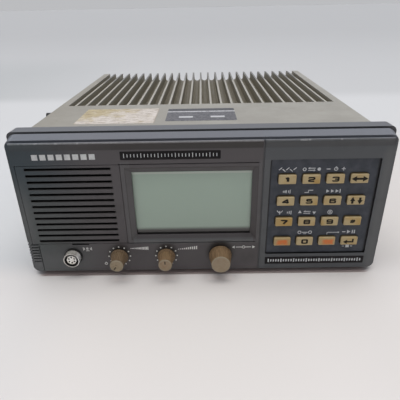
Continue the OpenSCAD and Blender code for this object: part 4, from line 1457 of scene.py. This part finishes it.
@dataclass
class FrontPanel(SubAssembly):
    """Moulded panel with its label strips, plain badge bars and printed signs."""

    slot: str = "panel_plastic"
    upper_strip: Edges = (-56.3, 13.9, 93.5, 99.8)
    lower_strip: Edges = (49.2, 126.7, 4.2, 10.7)
    strip_out: float = 0.14
    strip_corner: float = 0.6
    strip_margin: float = 2.5
    long_every: int = 5
    long_by: float = 1.4
    badge: Edges = (-119.0, -73.0, 94.2, 98.3)
    badge_bars: int = 8
    badge_fill: float = 0.72
    dials: tuple[str, str] = ("volume", "gain")
    dial_r: float = 8.45
    dot: float = 1.2
    dots: int = 11
    dot_turn: float = 30.0
    first_turn: float = -60.0
    sign_z: float = 20.3
    off_at: Span = (-76.6, 6.5)
    looks: ClassVar[Looks] = {
        "moulded_panel": ["front_panel", "speaker_grille"],
        "black_steel": ["speaker_basket", "side_bolt"],
        "black_paper": ["speaker_cone"],
        "ferrite_magnet": ["speaker_magnet"],
        "seal_rubber": ["panel_seal"],
        "frame_paint": ["panel_frame"],
        "green_laminate": ["panel_board", "main_board", "amplifier_board"],
    }

    def build(self, finishes: Finishes) -> None:
        """Makes the strips, the badge bars and the signs.

        Args:
            finishes: The materials by name.
        """
        for name, edges in (("upper_strip", self.upper_strip), ("lower_strip", self.lower_strip)):
            x0, x1, z0, z1 = edges
            low, high = on_face(x0, z0, self.strip_out), on_face(x1, z1)
            strip = Bench.plate(name, low, high, thin=1, corner=self.strip_corner / 1000)
            Bench.hand_over(strip, finishes["strip_black"], self.body, self.slot)
        upper = self._ticks(self.upper_strip, pitch=2.4, height=2.3, width=0.5)
        lower = self._ticks(self.lower_strip, pitch=2.0, height=2.2, width=0.95)
        for name, marks, out, ink in (
            ("badge_bars", self._badge(), 0.0, "silver_ink"),
            ("upper_ticks", upper, self.strip_out, "grey_ink"),
            ("lower_ticks", lower, self.strip_out, "grey_ink"),
            ("dial_dots", self._dots(), 0.0, "white_ink"),
            ("face_signs", self._signs(), 0.0, "white_ink"),
        ):
            Bench.hand_over(Printer.print(name, marks, out), finishes[ink], self.body, self.slot)

    def _badge(self) -> list[Placed]:
        """Plain bars in a row.

        Returns:
            The marks with their places.
        """
        x0, x1, z0, z1 = self.badge
        pitch = (x1 - x0) / self.badge_bars
        block = bar(0, 0, pitch * self.badge_fill, z1 - z0)
        return [(block, x0 + pitch * (i + 0.5), (z0 + z1) / 2) for i in range(self.badge_bars)]

    def _ticks(self, edges: Edges, pitch: float, height: float, width: float) -> list[Placed]:
        """Plain scale ticks along a strip, some of them longer.

        Args:
            edges: Left, right, lower and upper edge of the strip.
            pitch: Way from tick to tick.
            height: Height of a short tick.
            width: Width of a tick.

        Returns:
            The ticks with their places.
        """
        x0, x1, z0, z1 = edges
        count = int((x1 - x0 - 2 * self.strip_margin) / pitch)
        start = (x0 + x1) / 2 - count * pitch / 2
        short = bar(0, 0, width, height)
        long = bar(0, 0, width, height * self.long_by)
        return [
            (short if i % self.long_every else long, start + i * pitch, (z0 + z1) / 2)
            for i in range(count + 1)
        ]

    def _dots(self) -> list[Placed]:
        """Rows of dots round the two dials.

        Returns:
            The marks with their places.
        """
        dot = disc(0, 0, self.dot)
        turns = [self.first_turn + self.dot_turn * i for i in range(self.dots)]
        return [(dot, *round_knob(dial, self.dial_r, turn)) for dial in self.dials for turn in turns]

    def _signs(self) -> list[Placed]:
        """Pictograms for microphone, volume, gain, tuning and the off position.

        Returns:
            The marks with their places.
        """
        capsule = [
            disc(0, 0.6, 1.7),
            bar(0, 0.1, 1.7, 1.0),
            bar(0, -1.1, 0.5, 1.2),
            bar(0, -1.6, 2.6, 0.5),
            *(bar(side * 2.3, 0.2, 0.45, 1.8) for side in (-1, 1)),
            *(bar(side * 3.2, 0.2, 0.45, 2.8) for side in (-1, 1)),
        ]
        wedge = [bar(-7.2 + 1.1 * i, 0, 0.75, 0.5 + 0.2 * i) for i in range(13)]
        levels = [bar(-7 + 1.55 * i, -1.2 + 0.14 * i, 0.9, 0.5 + 0.28 * i) for i in range(10)]
        tuner = [
            arrow(-7.6, 0, 2.8, 180),
            bar(-3.4, 0, 5.2, 0.6),
            ring(0, 0, 2.6, 0.5),
            bar(3.4, 0, 5.2, 0.6),
            arrow(7.6, 0, 2.8, 0),
        ]
        off = [ring(0, 0, 2.4, 0.45), bar(0, 0.9, 0.5, 1.5)]
        row = ((capsule, -89.7), (wedge, -48.5), (levels, -11.5), (tuner, 32.0))
        placed = [(mark, x, self.sign_z) for marks, x in row for mark in marks]
        return placed + [(mark, *self.off_at) for mark in off]


@dataclass
class Keypad(SubAssembly):
    """Key caps with numerals and signs, their printed plate and the two orange lights."""

    slot: str = "key_plastic"
    proud: float = 1.2
    plate_out: float = -1.3
    legend_up: float = 6.85
    legend_size: float = 1.12
    patch: Span = (10.6, 5.8)
    patch_corner: float = 0.9
    patch_out: Span = (-0.05, 0.15)
    looks: ClassVar[Looks] = {
        "key_plastic": [f"key_{name}" for row in KEY_ROWS for name in row],
        "pad_plate": ["keypad_plate"],
        "pale_rubber": ["key_mat"],
    }

    @staticmethod
    def at(row: int, column: int) -> Span:
        """Middle of one key on the face, in millimetres."""
        return PAD_AT[0] + (column - 1.5) * PAD_PITCH[0], PAD_AT[1] + (1.5 - row) * PAD_PITCH[1]

    def build(self, finishes: Finishes) -> None:
        """Prints every key and the plate, and sets in the two lights.

        Args:
            finishes: The materials by name.
        """
        for r, row in enumerate(KEY_ROWS):
            for c, name in enumerate(row):
                if name.startswith("orange"):
                    piece, finish = self._light(name, *self.at(r, c)), "orange_window"
                else:
                    piece, finish = self._print(name, *self.at(r, c)), "black_ink"
                Bench.hand_over(piece, finishes[finish], f"key_{name}_cap", self.slot)
        legends = Printer.print("pad_legends", self._legends(), self.plate_out)
        Bench.hand_over(legends, finishes["grey_ink"], self.body, "keypad_overlay")

    def _light(self, name: str, x: float, z: float) -> Piece:
        """Sets a small orange window into a key.

        Args:
            name: The key.
            x: Millimetres of its middle to the right.
            z: Millimetres of its middle above the face's lower edge.

        Returns:
            The window.
        """
        w, h = self.patch
        sunk, out = self.patch_out
        low = on_face(x - w / 2, z - h / 2, self.proud + out)
        high = on_face(x + w / 2, z + h / 2, self.proud + sunk)
        return Bench.plate(f"key_{name}_light", low, high, thin=1, corner=self.patch_corner / 1000)

    def _print(self, name: str, x: float, z: float) -> Piece:
        """Prints a key's numeral or sign.

        Args:
            name: The key.
            x: Millimetres of its middle to the right.
            z: Millimetres of its middle above the face's lower edge.

        Returns:
            The printed piece.
        """
        label = f"key_{name}_print"
        if name in NUMERALS:
            return Pen(line=PEN_LINES.get(name, Pen.line)).draw(label, name, x, z, self.proud)
        return Printer.print(label, [(mark, x, z) for mark in CAP_SIGNS[name]], self.proud)

    def _legends(self) -> list[Placed]:
        """Generic signs above the keys.

        Returns:
            The marks with their places.
        """
        placed = []
        for key, marks in KEY_SIGNS.items():
            x, z = self.at(*key)
            placed += [(mark.grown(self.legend_size), x, z + self.legend_up) for mark in marks]
        for key, marks in (((3, 2), LEAD), ((3, 3), STOP)):
            placed += [(mark, *self.at(*key)) for mark in marks]
        return placed


@dataclass
class Controls(SubAssembly):
    """Knobs with pointer fills, their shafts and the microphone socket."""

    slot: str = "knob_plastic"
    sunk: float = 0.04
    pointer: Span = (1.1, 3.9)
    pointer_w: float = 0.8
    rests: tuple[tuple[str, float], ...] = (("volume", 234.0), ("gain", 90.0))
    looks: ClassVar[Looks] = {
        **{f"{name}_plastic": [f"{name}_knob"] for name in KNOB_X},
        "bright_steel": ["volume_shaft", "gain_shaft", "tuning_shaft", "bushing_nuts"],
        "black_plastic": ["volume_pot", "gain_pot", "tuning_encoder"],
        "socket_metal": ["mic_socket_shell"],
        "nickel": ["mic_socket_nut"],
        "insert_plastic": ["mic_socket_insert"],
    }

    def build(self, finishes: Finishes) -> None:
        """Fills the pointer grooves of the two dials.

        Args:
            finishes: The materials by name.
        """
        inner, outer = self.pointer
        for name, turn in self.rests:
            fill = bar(0, 0, outer - inner, self.pointer_w, turn)
            at = round_knob(name, (inner + outer) / 2, turn)
            piece = Printer.print(f"{name}_pointer", [(fill, *at)], KNOB_OUT - self.sunk)
            Bench.hand_over(piece, finishes["black_ink"], f"{name}_control", self.slot)


class DisplayUnit(SubAssembly):
    """Display glass and the box that holds it."""

    looks: ClassVar[Looks] = {
        "display_film": ["display_glass"],
        "carrier_plastic": ["display_carrier"],
    }


@dataclass
class Housing(SubAssembly):
    """Finned casting with its covers, its two blank labels and the sockets at the back."""

    slot: str = "cast_paint"
    labels: tuple[tuple[str, Edges], ...] = (
        ("paper_label", (-96.0, -35.0, 32.0, 79.0)),
        ("metal_label", (-27.0, 28.0, 37.0, 76.0)),
    )
    label_t: float = 0.08
    label_corner: float = 1.0
    looks: ClassVar[Looks] = {
        "cast_paint": ["heatsink_housing", "bottom_cover", "rear_panel"],
        "zinc_screws": ["machine_screws", "cover_screws", "frame_screws", "speaker_screws"],
        "nickel": ["antenna_socket", "coupler_socket", "power_socket", "socket_nuts"],
        "black_plastic": ["socket_inserts", "amplifier_transistors"],
        "old_brass": ["ground_stud", "ground_nut"],
        "ring_core": ["filter_coils"],
    }

    def build(self, finishes: Finishes) -> None:
        """Lays the two labels on the housing's flat plate.

        Args:
            finishes: The materials by name.
        """
        for name, (x0, x1, y0, y1) in self.labels:
            low, high = on_top(x0, y0), on_top(x1, y1, self.label_t)
            piece = Bench.plate(name, low, high, thin=2, corner=self.label_corner / 1000)
            Bench.hand_over(piece, finishes[name], self.body, self.slot)


@dataclass(frozen=True)
class Paper(Finish):
    """Pale paper floor that greys away into the distance, with painted shade beside the radio and under
    it, a painted shadow along the foot of the panel, and painted light in front of the panel and under the
    knobs.
    """

    near: Colour = (0.736, 0.706, 0.700)
    middle: Colour = (0.585, 0.590, 0.605)
    back: Colour = (0.511, 0.516, 0.530)
    far: Colour = (0.464, 0.469, 0.482)
    cool: Colour = (0.588, 0.599, 0.620)
    warm: Colour = (0.616, 0.590, 0.581)
    dim: Colour = (0.455, 0.468, 0.480)
    pale: Colour = (0.80, 0.768, 0.762)
    brown: Colour = (0.74, 0.61, 0.59)
    foot: Colour = (0.34, 0.285, 0.28)
    light_under_knobs: Colour = (0.97, 0.91, 0.895)
    middle_from: Span = (-150.0, 300.0)
    beside_from: Span = (-145.0, -110.0)
    beside_to: Span = (100.0, 300.0)
    side: Span = (70.0, 135.0)
    pale_from: Span = (-158.0, -142.0)
    pale_half: float = 85.0
    foot_y: Span = (-138.0, -136.2)
    foot_half: float = 130.5
    under: float = -100.0
    light_under_knobs_y: Span = (-145.6, -138.6)
    knobs: tuple[tuple[str, float], ...] = (("volume", 6.5), ("gain", 6.5), ("tuning", 9.5))
    fold: Span = (490.0, 590.0)
    far_from: Span = (600.0, 3000.0)
    dim_x: Span = (-200.0, -600.0)
    dim_to: Span = (900.0, 1500.0)

    def coat(self, g: Surface) -> Material:
        """Adds the finish to an empty surface.

        Args:
            g: The surface to work on.

        Returns:
            The finished material.
        """
        inner, outer = self.side
        beside = (0.3 + 0.7 * g.step(g.y, *self.beside_from)) * (1 - g.step(g.y, *self.beside_to))
        before = g.band(g.x, -self.foot_half, self.foot_half, 3.5)
        pale = g.step(g.y, *self.pale_from) * g.band(g.x, -self.pale_half, self.pale_half, 30.0)
        below = g.band(g.y, *self.light_under_knobs_y, 1.8)
        dim = g.step(g.x, *self.dim_x) * g.step(g.y, *self.fold) * (1 - g.step(g.y, *self.dim_to))
        base = g.layers(
            self.near,
            (self.middle, g.step(g.y, *self.middle_from)),
            # painted shade beside the radio, with a cool tint on the left and a warm one on the right
            (self.cool, g.step(g.x, -inner, -outer) * beside),
            (self.warm, g.step(g.x, inner, outer) * beside),
            # painted light on the floor just in front of the panel
            (self.pale, pale),
            # painted shade: a brown tint on the floor under the radio
            (self.brown, g.band(g.y, self.foot_y[0], self.under, 0.7) * before),
            # painted shadow along the foot of the panel
            (self.foot, g.band(g.y, *self.foot_y, 0.6) * before),
            # painted light on the floor under the knobs, which pales their shadows
            *(
                (self.light_under_knobs, g.band(g.x, KNOB_X[knob] - wide, KNOB_X[knob] + wide, 3.0) * below)
                for knob, wide in self.knobs
            ),
            (self.back, g.step(g.y, *self.fold)),
            (self.far, g.step(g.y, *self.far_from)),
            (self.dim, dim),
        )
        return g.finish(base, 0.75 + 0.1 * g.noise(300.0))


@dataclass(frozen=True)
class SoftSky:
    """Dim light all round, a broad bright panel overhead and in front, and a cooler one behind."""

    name: str
    low: Colour = (0.22, 0.225, 0.235)
    high: Colour = (0.40, 0.405, 0.42)
    above: Colour = (3.0, 2.96, 2.88)
    behind: Colour = (1.5, 1.56, 1.73)
    far: Colour = (0.50, 0.505, 0.52)
    high_z: Span = (0.15, 0.6)
    above_y: Span = (0.4, 0.15)
    above_z: Span = (0.82, 0.90)
    behind_y: Span = (0.2, 0.75)
    behind_z: Span = (0.3, 0.65)
    far_y: Span = (0.5, 0.8)
    far_z: Span = (0.04, 0.16)

    def make(self) -> World:
        """Builds the world.

        Returns:
            The world.
        """
        g = Graph(bpy.data.worlds.new(self.name))
        _, y, z = g.split(g.node("ShaderNodeTexCoord", output="Generated"))
        colour = g.layers(
            self.low,
            (self.high, g.step(z, *self.high_z)),
            (self.above, g.step(y, *self.above_y) * g.step(z, *self.above_z)),
            (self.behind, g.step(y, *self.behind_y) * g.band(z, *self.behind_z, 0.15)),
            (self.far, g.step(y, *self.far_y) * (1 - g.step(z, *self.far_z))),
        )
        return g.end(g.node("ShaderNodeBackground", inputs={"Color": colour}), "ShaderNodeOutputWorld")


@dataclass
class Studio:
    """Pale floor, soft light and the camera."""

    eye: tuple[float, float, float] = (0.0018, -0.3985, 0.1949)
    pitch: float = 26.26
    yaw: float = 0.64
    roll: float = -1.13
    focal: float = 397.0
    image: float = 400.0
    sensor: float = 36.0
    floor_size: float = 60.0
    floor_z: float = -0.0002
    lamp_at: tuple[float, float, float] = (0.1, 0.0, 1.3)
    lamp_to: tuple[float, float, float] = (0.0, 0.02, 0.05)
    lamp_colour: Colour = (1.0, 0.985, 0.96)
    lamp_size: float = 1.4
    lamp_watts: float = 3.0

    def build(self) -> None:
        """Makes the floor, the lamp, the world and the camera."""
        self._floor()
        self._lamp()
        self._camera()
        bpy.context.scene.world = SoftSky("studio_sky").make()
        bpy.context.scene.view_settings.view_transform = "Standard"

    def _floor(self) -> None:
        """Lays the floor just under the object."""
        Bench.clear()
        bpy.ops.mesh.primitive_plane_add(size=self.floor_size, location=(0, 0, self.floor_z))
        floor = bpy.context.active_object
        floor.name = "studio_floor"
        Bench.settle(floor)
        floor.data.materials.append(Paper("studio_paper").make())

    @staticmethod
    def _place(name: str, data: bpy.types.ID) -> Piece:
        """Puts a lamp or a camera into the scene.

        Args:
            name: Name of the object.
            data: The lamp or camera that it holds.

        Returns:
            The object.
        """
        holder = bpy.data.objects.new(name, data)
        bpy.context.scene.collection.objects.link(holder)
        return holder

    def _lamp(self) -> None:
        """Hangs one large soft lamp above the object, a little to the right."""
        lamp = bpy.data.lights.new("overhead_lamp", "AREA")
        lamp.size = self.lamp_size
        lamp.energy = self.lamp_watts
        lamp.color = self.lamp_colour
        holder = self._place("overhead_lamp", lamp)
        holder.location = self.lamp_at
        holder.rotation_mode = "QUATERNION"
        holder.rotation_quaternion = (Vector(self.lamp_to) - holder.location).to_track_quat("-Z", "Y")

    def _camera(self) -> None:
        """Sets the camera at the photograph's place and angle."""
        p, r = math.radians(self.pitch), math.radians(self.roll)
        turn = Matrix.Rotation(math.radians(self.yaw), 3, "Z")
        ahead = turn @ Vector((0, math.cos(p), -math.sin(p)))
        right = turn @ Vector((1, 0, 0))
        up = turn @ Vector((0, math.sin(p), math.cos(p)))
        across = math.cos(r) * right + math.sin(r) * up
        above = -math.sin(r) * right + math.cos(r) * up
        data = bpy.data.cameras.new("camera")
        data.sensor_width = self.sensor
        data.lens = self.sensor * self.focal / self.image
        data.clip_start = 0.01
        camera = self._place("camera", data)
        facing = Matrix((across, above, -ahead)).transposed()
        camera.matrix_world = Matrix.Translation(self.eye) @ facing.to_4x4()
        bpy.context.scene.camera = camera


# Settings of the plain finishes
PRINT = {"grain": 0.4, "depth": 0.01}
BLACK = {**PRINT, "shine": 0.2}
PLAIN = {"cloud": 3.0, "grain": 0.4}
STEEL = {"metal": 1.0, "cloud": 3.0, "grain": 0.3, "depth": 0.01}
ZINC = {"metal": 1.0, "cloud": 2.0, "grain": 0.3, "depth": 0.02}
PLATED = {"metal": 1.0, "cloud": 2.5, "grain": 0.35, "depth": 0.02}
PAINT = {"cloud": 18.0, "grain": 0.6, "depth": 0.02}
LAMINATE = {"cloud": 8.0, "grain": 0.6}
CONE = {"cloud": 2.0, "grain": 0.3, "depth": 0.06}
# Ribs of the two small knobs, and the colours that differ from knob to knob
SMALL_KNOB = {"ribs": 24, "front_r": 5.15}
VOLUME_FRONT = (0.280, 0.222, 0.143)
VOLUME_SIDE = (0.184, 0.127, 0.075)
GAIN_FRONT = (0.292, 0.211, 0.133)
TUNING_FRONT = (0.302, 0.233, 0.156)
# Every finish of the radio
RECIPES = (
    MouldedPanel("moulded_panel"),
    CastPaint("cast_paint"),
    KeyPlastic("key_plastic"),
    KnobPlastic("volume_plastic", KNOB_X["volume"], front=VOLUME_FRONT, side=VOLUME_SIDE, **SMALL_KNOB),
    KnobPlastic("gain_plastic", KNOB_X["gain"], front=GAIN_FRONT, **SMALL_KNOB),
    KnobPlastic("tuning_plastic", KNOB_X["tuning"], ribs=30, front_r=7.2, front=TUNING_FRONT, patchy=0.3),
    DisplayFilm("display_film"),
    Sticker("paper_label"),
    DataPlate("metal_label"),
    Speckled("frame_paint", (0.0475, 0.050, 0.0555), (0.0605, 0.0625, 0.0695), (0.3, 0.42), **PAINT),
    PadFilm("pad_plate"),
    Speckled("strip_black", (0.006, 0.005, 0.006), (0.011, 0.009, 0.010), (0.45, 0.6), cloud=5.0, **BLACK),
    Speckled("white_ink", (0.76, 0.76, 0.74), (0.55, 0.55, 0.53), (0.5, 0.6), cloud=1.6, **PRINT),
    Speckled("silver_ink", (0.60, 0.61, 0.61), (0.48, 0.49, 0.5), (0.4, 0.5), cloud=3.0, **PRINT),
    Speckled("grey_ink", (0.62, 0.64, 0.66), (0.46, 0.48, 0.50), (0.5, 0.6), cloud=1.6, **PRINT),
    Speckled("black_ink", (0.010, 0.008, 0.006), (0.022, 0.018, 0.012), (0.5, 0.6), cloud=1.2, **BLACK),
    WornPrint("orange_window"),
    Speckled("black_steel", (0.010, 0.010, 0.011), (0.018, 0.018, 0.019), (0.5, 0.7), cloud=3.0),
    Speckled("black_paper", (0.008, 0.008, 0.008), (0.014, 0.013, 0.013), (0.85, 0.95), **CONE),
    Speckled("ferrite_magnet", (0.03, 0.03, 0.033), (0.05, 0.05, 0.055), (0.5, 0.7), **PLAIN),
    Speckled("seal_rubber", (0.010, 0.010, 0.012), (0.018, 0.018, 0.02), (0.65, 0.8), cloud=4.0),
    Speckled("green_laminate", (0.018, 0.09, 0.032), (0.03, 0.12, 0.045), (0.3, 0.45), **LAMINATE),
    Speckled("pale_rubber", (0.5, 0.5, 0.47), (0.44, 0.44, 0.41), (0.6, 0.75), cloud=4.0, grain=0.4),
    Speckled("bright_steel", (0.52, 0.52, 0.53), (0.42, 0.42, 0.43), (0.25, 0.4), **STEEL),
    Speckled("zinc_screws", (0.46, 0.46, 0.47), (0.34, 0.33, 0.31), (0.3, 0.5), **ZINC),
    SocketMetal("socket_metal"),
    Speckled("nickel", (0.70, 0.69, 0.66), (0.50, 0.48, 0.45), (0.22, 0.42), **PLATED),
    ContactInsert("insert_plastic"),
    Speckled("black_plastic", (0.016, 0.016, 0.017), (0.028, 0.028, 0.03), (0.4, 0.6), **PLAIN),
    Speckled("carrier_plastic", (0.66, 0.66, 0.62), (0.58, 0.57, 0.53), (0.3, 0.45), cloud=5.0),
    Speckled("old_brass", (0.45, 0.31, 0.11), (0.28, 0.19, 0.08), (0.3, 0.55), **PLATED),
    Speckled("ring_core", (0.38, 0.28, 0.04), (0.30, 0.21, 0.03), (0.4, 0.55), **PLAIN),
)


def main() -> None:
    """Builds and dresses every sub-assembly, then the studio."""
    logging.basicConfig(level=logging.INFO, format="%(name)s %(message)s")
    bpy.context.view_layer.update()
    finishes = Finishes(RECIPES)
    for assembly in (FrontPanel(), Keypad(), Controls(), DisplayUnit(), Housing()):
        assembly.dress(finishes)
        assembly.build(finishes)
    Studio().build()


if __name__ == "__main__":
    main()
